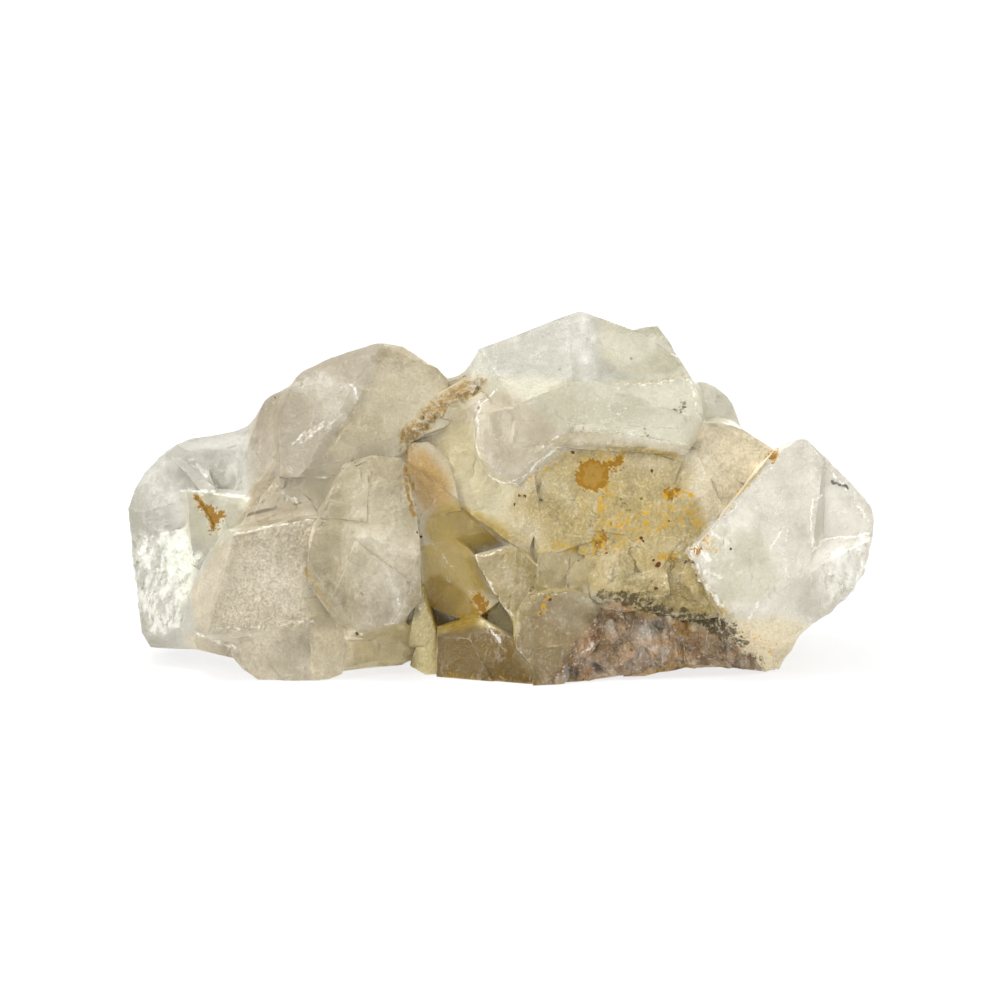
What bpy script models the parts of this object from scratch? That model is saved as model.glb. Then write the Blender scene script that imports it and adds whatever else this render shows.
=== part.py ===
"""A hand-sized cluster of pale fluorite: cloudy crystals, cleaved and broken, grown together in one piece.

Everything is laid out in the show frame, the cluster seen square on its show face: X across, Y away from
the viewer, Z up, in millimetres. A parent empty leans that frame back, so that the broken underside is level,
and the cluster is cut off flat where it stands. All blocks are fused into one solid.
"""

import math
import random

import bmesh
import bpy
from mathutils import Matrix, Vector
from mathutils.geometry import convex_hull_2d

MM = 0.001
NAME = "fluorite_cluster"
SHOW_LEAN = math.radians(10)  # how far the show face leans back on its base
PRISM_REACH = 60.0  # every block starts as a prism this far to the front and the back
CORNER_PLAY = 0.04  # how far a prism's corner may lie off its mark, so that no two blocks share a wall
HIDDEN_WALL_SLOPE = 24.0  # degrees that a block's walls close in behind its waist
SLOPE_SHARES = (0.6, 1.5)  # least and most of that slope in any one wall
WALL_TURN = 0.12  # how far such a wall may be turned in its own line
WALL_STARTS = (0.55, 1.0)  # where a wall starts to close in, from the face to the waist
FACE_RIM = 3.0  # how deep a block's walls stay straight behind its face
WAIST_SHARE = 0.35  # the waist's depth in a block, where none is given
TERRACE_SLOPE = 62.0  # degrees that the riser of a cleavage terrace stands from its face
TERRACE_RISE = (0.28, 0.75)  # lowest and highest riser
TERRACE_ENDS = (0.3, 0.7)  # where a terrace may cross the line between two corners
CLEAVAGE_TURN = 60.0  # degrees between the cleavage traces on one face
GRAIN_TILT = 9.0  # degrees that a grain may lean out of its face
SMALLEST_TIP = 0.03  # a cube's tip is cleaved off only if it is longer than this share
CRUMB_COUNT = 15
CRUMB_EDGES = (1.1, 2.2)
SEAM_CUBE_SINK = 1.1  # how far the seam's cubes are set back into it
SEAM_CUBE_TILT = 35.0
GROUND_SIZE = 0.3  # in metres, wider than the whole cluster
SEED = 21

FRONT = -1
BACK = 1

rng = random.Random(SEED)

for stale in list(bpy.data.objects):
    bpy.data.objects.remove(stale)
cluster_collection = bpy.data.collections.new(NAME)
block_collection = bpy.data.collections.new("blocks")
bpy.context.scene.collection.children.link(cluster_collection)
bpy.context.scene.collection.children.link(block_collection)


# --- tools for one convex block -------------------------------------------------------------------------


def facing(yaw, pitch, side):
    """The unit normal of a face that looks to the front or the back, turned right by yaw and up by pitch."""
    yaw, pitch = math.radians(yaw), math.radians(pitch)
    return Vector((math.sin(yaw) * math.cos(pitch), side * math.cos(yaw) * math.cos(pitch), math.sin(pitch)))


def keep_behind(bm, point, normal):
    """Cuts a block with a plane, keeps what lies behind it and closes the cut with one flat face."""
    cut = bmesh.ops.bisect_plane(
        bm, geom=bm.verts[:] + bm.edges[:] + bm.faces[:], dist=1e-5,
        plane_co=point, plane_no=normal, clear_outer=True,
    )
    rim = [e for e in cut["geom_cut"] if isinstance(e, bmesh.types.BMEdge)]
    if rim:
        bmesh.ops.edgeloop_fill(bm, edges=rim)


def traced_plane(face_point, face_normal, start, end, lean):
    """A plane through the line from start to end, seen from the front and drawn on the given face. It leans
    away from that face by lean degrees and falls to the right of the line."""
    fall = Vector((end[1] - start[1], 0, start[0] - end[0]))
    fall = (fall - fall.dot(face_normal) * face_normal).normalized()
    depth = face_point.y - (
        (start[0] - face_point.x) * face_normal.x + (start[1] - face_point.z) * face_normal.z
    ) / face_normal.y
    lean = math.radians(lean)
    return Vector((start[0], depth, start[1])), face_normal * math.cos(lean) + fall * math.sin(lean)


def cleave(bm, face_point, face_normal, start, end, lean):
    """Cleaves off what lies right of the line, down to the traced plane. Returns that plane."""
    point, normal = traced_plane(face_point, face_normal, start, end, lean)
    keep_behind(bm, point, normal)
    return point, normal


def prism(outline):
    """A closed prism along Y over the outline's convex hull, each corner a hair off its mark."""
    near = [
        Vector(c) + Vector((rng.uniform(-CORNER_PLAY, CORNER_PLAY), rng.uniform(-CORNER_PLAY, CORNER_PLAY)))
        for c in outline
    ]
    corners = [near[i] for i in convex_hull_2d(near)]
    bm = bmesh.new()
    face = bm.faces.new([bm.verts.new((x, -PRISM_REACH, z)) for x, z in corners])
    pushed = bmesh.ops.extrude_face_region(bm, geom=[face])
    moved = [v for v in pushed["geom"] if isinstance(v, bmesh.types.BMVert)]
    bmesh.ops.translate(bm, verts=moved, vec=(0, 2 * PRISM_REACH, 0))
    bmesh.ops.recalc_face_normals(bm, faces=bm.faces)
    return bm, corners


def close_in(bm, corners, front, waist, side):
    """Slopes every wall of a prism inwards on its hidden side, each from its own depth between the front and
    the waist."""
    middle = sum((Vector(c) for c in corners), Vector((0, 0))) / len(corners)
    for (x0, z0), (x1, z1) in zip(corners, corners[1:] + corners[:1]):
        out = Vector((z1 - z0, 0, x0 - x1)).normalized()
        if out.dot(Vector((x0 - middle.x, 0, z0 - middle.y))) < 0:
            out.negate()
        slope = math.radians(HIDDEN_WALL_SLOPE * rng.uniform(*SLOPE_SHARES))
        turn = Vector((-out.z, 0, out.x)) * rng.uniform(-WALL_TURN, WALL_TURN)
        normal = out * math.cos(slope) + Vector((0, -side * math.sin(slope), 0))
        depth = front + (waist - front) * rng.uniform(*WALL_STARTS)
        middle_of_wall = Vector(((x0 + x1) / 2, depth, (z0 + z1) / 2))
        keep_behind(bm, middle_of_wall, (normal + turn).normalized())


def add_block(name, bm):
    """Puts the finished bmesh in the scene as one more block to be fused."""
    mesh = bpy.data.meshes.new(name)
    bmesh.ops.recalc_face_normals(bm, faces=bm.faces)
    bm.to_mesh(mesh)
    bm.free()
    obj = bpy.data.objects.new(name, mesh)
    obj.hide_render = True
    obj.display_type = "WIRE"
    block_collection.objects.link(obj)
    return obj


def apply_boolean(obj, operation, cutter):
    """Applies one Boolean to obj. The cutter is an object, or a collection of them taken together."""
    boolean = obj.modifiers.new("boolean", "BOOLEAN")
    boolean.operation = operation
    boolean.solver = "EXACT"
    if isinstance(cutter, bpy.types.Collection):
        boolean.operand_type = "COLLECTION"
        boolean.collection = cutter
    else:
        boolean.object = cutter
    bpy.context.view_layer.objects.active = obj
    bpy.ops.object.modifier_apply(modifier=boolean.name)


def cut_away(block, planes):
    """Cuts the wedge in front of all the planes out of a block. Each plane is a point and a normal."""
    bm = bmesh.new()
    bmesh.ops.create_cube(bm, size=4 * PRISM_REACH)
    for point, normal in planes:
        keep_behind(bm, point, -normal)
    wedge = add_block("wedge", bm)
    apply_boolean(block, "DIFFERENCE", wedge)
    bpy.data.objects.remove(wedge)


def crystal(name, outline, at, yaw=0.0, pitch=0.0, cleavages=(), steps=(), hollows=(), terraces=0, reach=30.0,
            side=FRONT, waist=None):
    """One block of the cluster. outline holds its corners (across, up). Its main face passes through at =
    (across, depth, up) and looks to its side of the cluster, turned by yaw and pitch. cleavages are
    (start, end, lean, face), where face 0 is the main face and n the nth cleavage. steps are (start, end,
    depth) in the main face, which lies lower right of the line; terraces is how many more are placed at
    random. hollows are lists of (start, end, lean) whose planes dip into the main face together. The block
    reaches that deep into the cluster, and its walls close in from the waist."""
    at, normal = Vector(at), facing(yaw, pitch, side)
    waist = at.y - side * WAIST_SHARE * reach if waist is None else waist
    bm, corners = prism(outline)
    keep_behind(bm, at, normal)
    faces = [(at, normal)]
    for start, end, lean, *on in cleavages:
        faces.append(cleave(bm, *faces[on[0] if on else 0], start, end, lean))
    keep_behind(bm, at - normal * reach, facing(0, 0, -side))
    close_in(bm, corners, at.y - side * FACE_RIM, waist, side)
    block = add_block(name, bm)
    steps = list(steps)
    compass = rng.uniform(0, CLEAVAGE_TURN)
    for _ in range(terraces):
        corner, other = rng.sample(outline, 2)
        middle = Vector(corner).lerp(Vector(other), rng.uniform(*TERRACE_ENDS))
        angle = math.radians(compass + CLEAVAGE_TURN * rng.randrange(6))
        step = Vector((math.cos(angle), math.sin(angle)))
        steps.append((middle, middle + step, rng.uniform(*TERRACE_RISE)))
    for start, end, depth in steps:
        riser = traced_plane(at, normal, start, end, TERRACE_SLOPE)
        cut_away(block, [riser, (at - normal * depth, normal)])
    for hollow in hollows:
        cut_away(block, [traced_plane(at, normal, start, end, lean) for start, end, lean in hollow])
    return block


def turned(angles):
    """The rotation by three angles in degrees, about X, then Y, then Z."""
    x, y, z = (math.radians(angle) for angle in angles)
    return Matrix.Rotation(z, 4, "Z") @ Matrix.Rotation(y, 4, "Y") @ Matrix.Rotation(x, 4, "X")


def cube(name, centre, edge, rotation, tips=0.0):
    """A whole cube crystal at centre = (across, depth, up). Its tips may be cleaved off along the
    octahedron, by up to that share of the way from corner to centre."""
    bm = bmesh.new()
    bmesh.ops.create_cube(bm, size=edge)
    half_diagonal = edge * math.sqrt(3) / 2
    for sx in (-1, 1):
        for sy in (-1, 1):
            for sz in (-1, 1):
                share = tips * rng.uniform(0.2, 1.0)
                if share > SMALLEST_TIP:
                    tip = Vector((sx, sy, sz)).normalized()
                    keep_behind(bm, tip * half_diagonal * (1 - share), tip)
    bmesh.ops.transform(bm, matrix=Matrix.Translation(centre) @ rotation, verts=bm.verts)
    add_block(name, bm)


def grains(name, corners, at, yaw, pitch, count, edge, poke):
    """Small crystals that roughen a face: cubes set in its plane, inside four corners (across, up), with one
    side nearly flush. edge and poke are the least and most of their size and of how far they stand out."""
    at, normal = Vector(at), facing(yaw, pitch, FRONT)
    flush = Vector((0, 0, 1)).rotation_difference(normal).to_matrix().to_4x4()
    low_left, low_right, high_right, high_left = (Vector(c) for c in corners)
    for n in range(count):
        u, v = rng.random(), rng.random()
        x, z = low_left.lerp(low_right, u).lerp(high_left.lerp(high_right, u), v)
        y = at.y - ((x - at.x) * normal.x + (z - at.z) * normal.z) / normal.y
        size = rng.uniform(*edge)
        tilt = turned((
            rng.uniform(-GRAIN_TILT, GRAIN_TILT), rng.uniform(-GRAIN_TILT, GRAIN_TILT), rng.uniform(0, 90)
        ))
        cube(f"{name}_{n}", Vector((x, y, z)) - normal * (size / 2 - rng.uniform(*poke)), size, flush @ tilt)


# --- the left end ---------------------------------------------------------------------------------------


def left_end():
    """The pearly end crystal, the clear one behind it and the ledge over the stained pit."""
    crystal(
        "end_crystal",
        [(-49.4, 34.1), (-53.2, 33.4), (-56.3, 30.2), (-58.5, 26), (-59.6, 23), (-58.4, 14), (-57.2, 3), (-55.8, 0.8),
         (-48, 0.3), (-43, 6), (-43.4, 20), (-45.6, 25.4), (-46.6, 29)],
        at=(-50, -15.5, 12), yaw=-24, pitch=7, reach=26, waist=0,
        cleavages=[
            ((-46.5, 25), (-60, 20.5), 28),
            ((-55.6, 22), (-55.2, 5), 16),
            ((-58.3, 18), (-57, 4), 30),
            ((-57, 3.6), (-46, 2.4), 40),
            ((-48.4, 25.6), (-54, 33.4), 14, 1),
            ((-52, 32.5), (-58.6, 25.5), 24, 1),
            ((-53.4, 19.6), (-49.4, 7), 9),
        ],
        steps=[((-44, 21.4), (-52.6, 19.2), 0.5), ((-52.6, 19.6), (-54.4, 3), 0.45)],
    )
    crystal(
        "end_back_crystal",
        [(-36, 35.2), (-45, 34.8), (-50, 34), (-53.5, 31.6), (-54, 18), (-50, 4), (-36, 4)],
        at=(-43, -11.6, 28), yaw=-12, pitch=13, reach=30, waist=6,
        cleavages=[((-38, 33.2), (-52, 31), 32), ((-46.4, 33), (-43.4, 25), 12)],
        terraces=1,
    )
    crystal(
        "vein_ridge",
        [(-52.6, 31), (-51.2, 31), (-45.4, 26.4), (-45.2, 25), (-47.4, 25.4)],
        at=(-49, -13.7, 28), yaw=-14, pitch=20, reach=10,
    )
    crystal(
        "pit_ledge",
        [(-38.6, 24.8), (-40, 25.6), (-46.4, 26), (-46, 23.8), (-43.8, 22.4), (-39.5, 22.7)],
        at=(-43, -14.9, 24), yaw=-9, pitch=40, reach=12,
    )
    crystal(
        "pit_floor",
        [(-39, 24), (-50, 26), (-49, 14), (-38, 12)],
        at=(-45, -16.6, 21), yaw=6, pitch=6, reach=16,
    )


# --- the upper left hump --------------------------------------------------------------------------------


def upper_left_hump():
    """Two cleaved crystals that meet in the ridge below the left peak, with a lower shoulder behind."""
    crystal(
        "hump_crystal",
        [(-32.7, 43.8), (-31.5, 44.9), (-28, 46.7), (-24, 47.9), (-20.5, 49.2), (-18.5, 49.4), (-15.5, 48.8),
         (-13, 47.1), (-10, 45.4), (-8.2, 43.4), (-8.5, 41.6), (-12.4, 35), (-17, 31), (-28, 28), (-35, 28),
         (-35.4, 38)],
        at=(-18, -15.7, 40), yaw=13, pitch=16, reach=30, waist=0,
        cleavages=[
            ((-17.6, 49.5), (-27.6, 32), 18),
            ((-19.4, 49.5), (-29.4, 32), 20, 1),
            ((-10, 45), (-19, 48.6), 36),
            ((-19, 48.2), (-33, 44), 30, 2),
            ((-13.6, 36), (-8.6, 42), 28),
            ((-26, 32), (-13, 35.4), 20),
        ],
        steps=[((-31.6, 37.6), (-26.4, 34.4), 0.5), ((-9, 38), (-20, 41.6), 0.35)],
    )
    crystal(
        "hump_shoulder",
        [(-39, 35), (-38.5, 36.3), (-37.9, 40), (-37, 40.9), (-34.4, 41.3), (-32.6, 42.4), (-29, 34),
         (-31, 22), (-42, 21), (-42.6, 26)],
        at=(-37, -14, 32), yaw=-20, pitch=15, reach=26, waist=2,
        cleavages=[((-33, 40.2), (-38, 38.5), 30), ((-33.4, 25), (-32.4, 42), 14), ((-36.6, 22.5), (-40.8, 29), 12)],
        terraces=2,
    )
    crystal(
        "dark_window",
        [(-23.6, 31), (-26.2, 32), (-32.5, 33), (-41, 24), (-40, 19), (-27, 19)],
        at=(-30, -18.9, 28), yaw=-10, pitch=12, reach=18,
        cleavages=[((-31.5, 32), (-34.6, 20), 16)],
    )
    crystal(
        "veined_ledge",
        [(-28.4, 21), (-30, 23.8), (-31.6, 25.6), (-34.6, 28.6), (-36, 27.6), (-40.6, 21.6), (-40.6, 19)],
        at=(-34, -21.3, 22.4), yaw=-12, pitch=30, reach=14,
        steps=[((-38.6, 22.6), (-31, 24.4), 0.5), ((-37, 20.5), (-34, 28), 0.4)],
    )


# --- the front left crystals ----------------------------------------------------------------------------


def front_left_crystals():
    """The frosted cube and the cloudy crystal beside it, which stand furthest forward on the left."""
    crystal(
        "frosted_cube",
        [(-29, 21.9), (-40, 20), (-43.6, 19.6), (-47, 15), (-49.6, 9), (-49.4, 6), (-48.4, 2.8), (-46, 2.4),
         (-30, 3.9), (-26, 5.5), (-26, 15)],
        at=(-36, -25.5, 12), yaw=13, pitch=-2, reach=24,
        cleavages=[
            ((-40.8, 18.7), (-44.4, 3), 16),
            ((-42.4, 18.3), (-46.4, 3), 46, 1),
            ((-29, 21.2), (-42.4, 18.2), 50),
            ((-46, 3.2), (-29, 4.3), 62),
            ((-47.4, 13.5), (-49, 5), 22, 2),
            ((-44.2, 9), (-41.6, 14.4), 12, 1),
        ],
        steps=[((-30.6, 8.6), (-44, 7.4), 0.3)],
    )
    crystal(
        "cloudy_crystal",
        [(-20.5, 31.5), (-25, 29.9), (-28.9, 21.5), (-30.4, 15.5), (-30.3, 11), (-24.6, 2.7), (-21, 2.2),
         (-16.3, 4.4), (-12.3, 8.6), (-12.6, 16.5), (-13.3, 22), (-14.6, 28), (-15.8, 31)],
        at=(-20, -27.2, 11), yaw=-3, pitch=-5, reach=26,
        cleavages=[
            ((-12.6, 16.8), (-29.8, 18.2), 29),
            ((-29.8, 16), (-25.4, 4.4), 24),
            ((-16.7, 4.4), (-13.1, 16.9), 44),
            ((-13.6, 16.9), (-16.6, 30.6), 26, 1),
            ((-24.6, 3.4), (-16.4, 5), 46),
            ((-20.2, 18), (-20.4, 31.5), 10, 1),
            ((-30.4, 14.4), (-21.6, 8), 10, 2),
        ],
        steps=[((-13, 10.4), (-22.6, 17.4), 0.45), ((-23, 17.4), (-27.2, 6.6), 0.4)],
    )
    crystal(
        "cloudy_crystal_sheet",
        [(-20.6, 31.3), (-25, 29.6), (-28.6, 21.6), (-21.2, 20.8)],
        at=(-24, -26.1, 22), yaw=0, pitch=26, reach=10,
    )
    crystal(
        "pale_flake",
        [(-12.2, 11.2), (-13.6, 7), (-14.6, 1.2), (-12, 1.2), (-10.2, 3.5)],
        at=(-12, -22.5, 5), yaw=32, pitch=-8, reach=14,
    )


def lower_left_feet():
    """The broken blocks under the frosted cube and the cloudy crystal."""
    crystal(
        "left_foot",
        [(-30, 5.4), (-43, 4.6), (-42.4, -0.9), (-40.9, -2.5), (-39.2, -3.6), (-37.5, -5), (-29, -5), (-28, -3)],
        at=(-36, -24.9, 0), yaw=-4, pitch=-3, reach=28,
        cleavages=[((-42.6, 4), (-38.6, -4.6), 30), ((-32.2, -5), (-31.2, 4.6), 10)],
        steps=[((-40.6, 4), (-34.4, -4.6), 0.4)],
    )
    crystal(
        "left_foot_tail",
        [(-38, 5), (-47, 4.6), (-48.6, 2), (-48.2, 0.5), (-44.6, 0.2), (-41.8, -1)],
        at=(-43, -22.4, 2), yaw=-16, pitch=-6, reach=26, terraces=1,
    )
    crystal(
        "left_foot_wedge",
        [(-24.2, 4.4), (-27.5, 6.4), (-30.6, 5.6), (-30, -0.4), (-29.2, -5), (-25.2, -3.4)],
        at=(-27.6, -24.6, 1), yaw=20, pitch=3, reach=18,
        cleavages=[((-29.6, -2.9), (-25.8, -2.4), 34)],
    )
    crystal(
        "shaded_foot",
        [(-12.3, 0.4), (-12.6, 3), (-16.5, 6), (-26.3, 5.4), (-27.4, -2.4), (-23.5, -2.1), (-15.6, -2.1)],
        at=(-19, -21.6, 1), yaw=6, pitch=-14, reach=26,
        cleavages=[((-16.6, -2.2), (-14.2, 2.4), 26)],
        terraces=1,
    )
    crystal(
        "foot_chip",
        [(-9.4, 1.2), (-9.9, 4.2), (-12.8, 2.9), (-14.4, -2.1), (-12, -3.5), (-9.8, -4)],
        at=(-11.6, -20.5, 0), yaw=24, pitch=-6, reach=20,
    )


# --- the hollow in the middle ---------------------------------------------------------------------------


def middle_hollow():
    """The clear, dark faces that look into the hollow between the two halves."""
    crystal(
        "tan_window",
        [(-11.4, 33.6), (-14.6, 33.4), (-17.4, 31), (-16.4, 26), (-14.6, 20.6), (-6.2, 22.6), (-7.2, 27),
         (-8.0, 29.6), (-9, 31.4)],
        at=(-11.6, -17.2, 27), yaw=-12, pitch=6, reach=20,
        cleavages=[((-14.8, 33), (-13.6, 21), 30)],
        terraces=1,
    )
    crystal(
        "upper_dark_face",
        [(-6.4, 24.9), (-10.4, 24.4), (-13.2, 21), (-13, 16.4), (-7, 14.8), (-4.3, 13.8), (2.6, 15.6), (2.8, 20.8)],
        at=(-4, -16.2, 20), yaw=8, pitch=-8, reach=18,
        cleavages=[((-9.6, 17.6), (1.4, 20.2), 22), ((2, 20.4), (-9, 23.8), 26)],
    )
    crystal(
        "middle_tan_face",
        [(-4.8, 16.6), (-8.6, 18.8), (-13.3, 17.6), (-13.4, 8.4), (-10, 9.6), (-5, 4.4), (0, 8.2), (-2, 12.8)],
        at=(-7, -18.4, 13), yaw=-16, pitch=8, reach=20,
        cleavages=[((-3.9, 6.8), (-10.8, 16.4), 14)],
        terraces=1,
    )
    crystal(
        "lower_dark_face",
        [(-6.4, 12.2), (-10, 13.2), (-13, 12), (-12.8, 8), (-10.8, 1.6), (3.4, 1.6), (2.6, 6.6), (-1.6, 8.4)],
        at=(-6, -18.2, 7), yaw=8, pitch=-6, reach=16,
        cleavages=[((-2.6, 9), (-0.6, 2), 26)],
    )
    crystal(
        "middle_foot",
        [(4.8, 0.6), (0, 3.0), (-3.4, 5.6), (-9.9, 4.1), (-10.2, -6), (6.8, -6)],
        at=(-2, -25, 0), yaw=-24, pitch=2, reach=28,
        cleavages=[((1.4, 1.6), (-9, 2.6), 24), ((3, -5.2), (4.6, 1), 22)],
        steps=[((-1, -5), (-5.4, 3.4), 0.5)],
    )
    crystal(
        "white_lath",
        [(1.2, 1), (0, 2.6), (-2.6, 5.2), (-1.6, 3.2), (0.4, 0.6)],
        at=(-0.6, -24.6, 3), yaw=4, pitch=24, reach=8,
    )


# --- the small crystals low in the middle ---------------------------------------------------------------


def low_middle_crystals():
    """Small cubes and a smoky block that lean on the foot of the large crystal."""
    crystal(
        "lilac_cube",
        [(1.8, 17.2), (-4.4, 15.5), (-2.6, 12.2), (1, 6.6), (3.2, 4.6), (5.8, 6.8), (6.8, 10), (6.6, 13.4),
         (4.2, 15.9)],
        at=(0.6, -23.6, 12), yaw=-15, pitch=6, reach=16,
        cleavages=[((2.4, 5), (2.5, 17.4), 28), ((2.4, 16.3), (-4.2, 14.7), 34), ((-0.4, 8.6), (4, 5.4), 26)],
        terraces=1,
    )
    crystal(
        "green_cube",
        [(10.2, 16.9), (6.2, 15.8), (5.6, 10), (8, 8.4), (11, 8.8), (13, 12), (11.4, 15.4)],
        at=(8.4, -24, 13), yaw=10, pitch=5, reach=14,
        cleavages=[((10.8, 9), (11.3, 16), 26), ((10.6, 15.6), (6, 14.8), 30), ((8, 9), (5.8, 15), 20)],
    )
    crystal(
        "notch_cube",
        [(15.6, 15), (11.8, 14.8), (10.6, 11.6), (11.4, 8.4), (16, 8.4)],
        at=(13.4, -22.8, 12), yaw=-8, pitch=6, reach=12,
        terraces=1,
    )
    crystal(
        "pale_cube",
        [(19.2, 16), (15, 15.2), (14.3, 11), (15.6, 8), (20.4, 8.4), (21.6, 12.6), (21, 15)],
        at=(17.4, -24.2, 12), yaw=-5, pitch=8, reach=12,
        cleavages=[((20, 9.2), (19.6, 15.8), 28), ((17, 14.9), (14.9, 9.5), 22), ((19.4, 15.2), (15, 14.6), 30)],
    )
    crystal(
        "smoky_block",
        [(10.5, 10), (4.6, 9.6), (2.6, 6.4), (2.6, 0.6), (6, -2.6), (10, -2.6), (14, -0.4), (16, 2), (16.4, 5.6),
         (14.1, 9)],
        at=(9, -27, 4), yaw=7, pitch=9, reach=22,
        cleavages=[((13.2, 9), (4, 8.2), 30), ((3.9, 8), (4.6, -1), 30), ((9, -1.2), (15.2, 3), 28),
                   ((14.4, 3), (13.2, 9), 24)],
        steps=[((15.4, 3.4), (11.6, -1.6), 0.6), ((4, 3), (9.4, 8.6), 0.4)],
    )
    crystal(
        "lilac_toe",
        [(9.9, 1.2), (5.2, 0.6), (5.2, -7), (8.6, -7), (12.6, -1.4)],
        at=(7.6, -28.2, -2), yaw=12, pitch=4, reach=18,
        cleavages=[((9, -6), (10, 0.6), 20)],
    )
    crystal(
        "purple_toe",
        [(17.4, 3.2), (12, 2.4), (9.2, -0.6), (8.4, -5), (12, -4.2), (18, -3.8), (19.4, 0)],
        at=(13, -25.8, -1), yaw=16, pitch=4, reach=18, terraces=1,
    )


# --- the large clear crystal ----------------------------------------------------------------------------


def large_clear_crystal():
    """The largest crystal: a sloping top, a broad front with a rolled rim, and the stained face below."""
    crystal(
        "large_crystal",
        [(13.4, 54.5), (12.5, 54.5), (0, 49.6), (-3.4, 48.4), (-3.9, 47.4),
         (-4.4, 45.2), (-5.2, 44), (-3.9, 38.6), (-3, 34), (9, 32.6), (29.6, 31.4), (32.4, 36), (32.2, 40),
         (30.9, 43.3), (28.6, 47.2), (22.6, 50.9), (20, 51.8), (17, 52.8)],
        at=(12, -20.6, 38), yaw=2, pitch=5, reach=36, waist=0,
        cleavages=[
            ((30.8, 43.1), (-2.4, 42.3), 30),
            ((10.8, 54.6), (11.6, 42.4), 11, 1),
            ((15.4, 42.4), (14, 54.6), 12, 1),
            ((-3.3, 48.8), (0.9, 42), 38, 2),
            ((-1.6, 42), (-1.6, 30), 28),
            ((28.6, 31), (29.4, 43.2), 20),
            ((16, 53.4), (4, 51.6), 20, 1),
            ((30.4, 43.2), (25, 51.6), 26, 3),
        ],
        steps=[((29.6, 35.4), (12, 36.4), 0.35)],
    )
    crystal(
        "large_cap_knob",
        [(25.2, 52.1), (23.6, 52), (21.4, 51.5), (20.4, 45), (28.6, 44), (28.4, 47.4), (27.2, 49.6)],
        at=(24.6, -12.9, 48), yaw=14, pitch=26, reach=22, waist=0,
    )
    crystal(
        "large_tongue",
        [(-3.6, 37.6), (-3.9, 32.4), (-2.2, 28.4), (0, 27.3), (3, 26.8), (8, 30.9), (11.8, 35.6), (6, 40)],
        at=(4, -20.9, 34), yaw=-3, pitch=5, reach=30,
        cleavages=[
            ((-1.8, 40), (-1.8, 30), 22),
            ((-3.2, 31.4), (3.4, 27.6), 28),
            ((3.4, 28.8), (10, 34.6), 30),
        ],
        steps=[((5.2, 30), (11, 35.4), 0.3)],
    )
    crystal(
        "rim_strip",
        [(30.2, 33), (20, 35), (10.5, 35), (4.2, 30.2), (3, 26.6), (10, 30.4), (30.2, 30.4)],
        at=(16, -21.0, 33), yaw=2, pitch=-8, reach=26,
        steps=[((9.4, 32.9), (30, 32.4), 0.45)],
    )
    crystal(
        "stained_face",
        [(31, 32.2), (21, 33.2), (10.4, 33.4), (2.4, 27), (0.6, 20.4), (2, 16.4), (4.4, 13.8), (14, 11),
         (30, 11), (37, 17), (36, 22)],
        at=(18, -20.9, 24), yaw=-1, pitch=9, reach=30,
        cleavages=[((15.6, 33), (16.8, 12), 6), ((28, 11), (31.6, 33), 16), ((5.6, 30), (4.4, 14), 10)],
        steps=[((14.5, 26), (17.4, 15), 0.3), ((31, 24.6), (20, 29.4), 0.35)],
        terraces=2,
    )
    crystal(
        "stained_foot_left",
        [(26, 17.6), (17, 17), (13.6, 14), (13, 7.6), (21, 6.8), (27, 9.6)],
        at=(21, -23.4, 13), yaw=-8, pitch=20, reach=24, terraces=2,
    )
    crystal(
        "stained_foot_right",
        [(34.4, 17.4), (26, 17.4), (22.6, 12), (22, 7), (30, 5.4), (35.4, 6)],
        at=(29, -22.8, 12), yaw=10, pitch=18, reach=24,
        cleavages=[((34.4, 9.8), (22.4, 10.6), -16)],
        terraces=2,
    )
    crystal(
        "yellow_face",
        [(-3.0, 41.6), (-8.6, 37.8), (-13.6, 35.4), (-12.8, 32.4), (-9.8, 30.6), (-8.2, 28.6), (-7.2, 23.8),
         (1.4, 19.8), (4.4, 15.6), (6.4, 22), (4.6, 33)],
        at=(-3, -17.9, 29), yaw=-18, pitch=6, reach=26,
        cleavages=[((-7.6, 37), (-5.6, 27), 12), ((-2.6, 40), (-12, 35), 24)],
        steps=[((-9, 36.6), (-7, 26), 0.3)],
    )


def rough_faces():
    """Grains on the stained face, along its foot and on the broken faces around it."""
    grains("stained_grain", [(6, 17), (31, 14), (28, 29), (9, 27)], (18, -20.9, 24), -1, 9, 16, (3, 9), (0, 0.1))
    grains("foot_grain", [(14, 9), (33, 8), (34, 16), (14, 17)], (24, -23, 13), 2, 18, 16, (1.8, 4.5), (0, 0.35))
    grains("tan_grain", [(32, 20), (39, 25), (41, 31), (33, 32)], (36, -18.2, 29), 13, 8, 4, (3, 6), (0, 0.1))
    grains("yellow_grain", [(-6, 25), (2, 21), (2, 27), (-7, 32)], (-3, -17.9, 29), -18, 6, 3, (3, 6), (0, 0.1))
    grains("border_grain", [(31, 16), (34, 9), (36, 9), (34, 17)], (33, -24.4, 13), -12, 4, 8, (1.6, 3.4),
           (0.1, 0.6))


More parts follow.
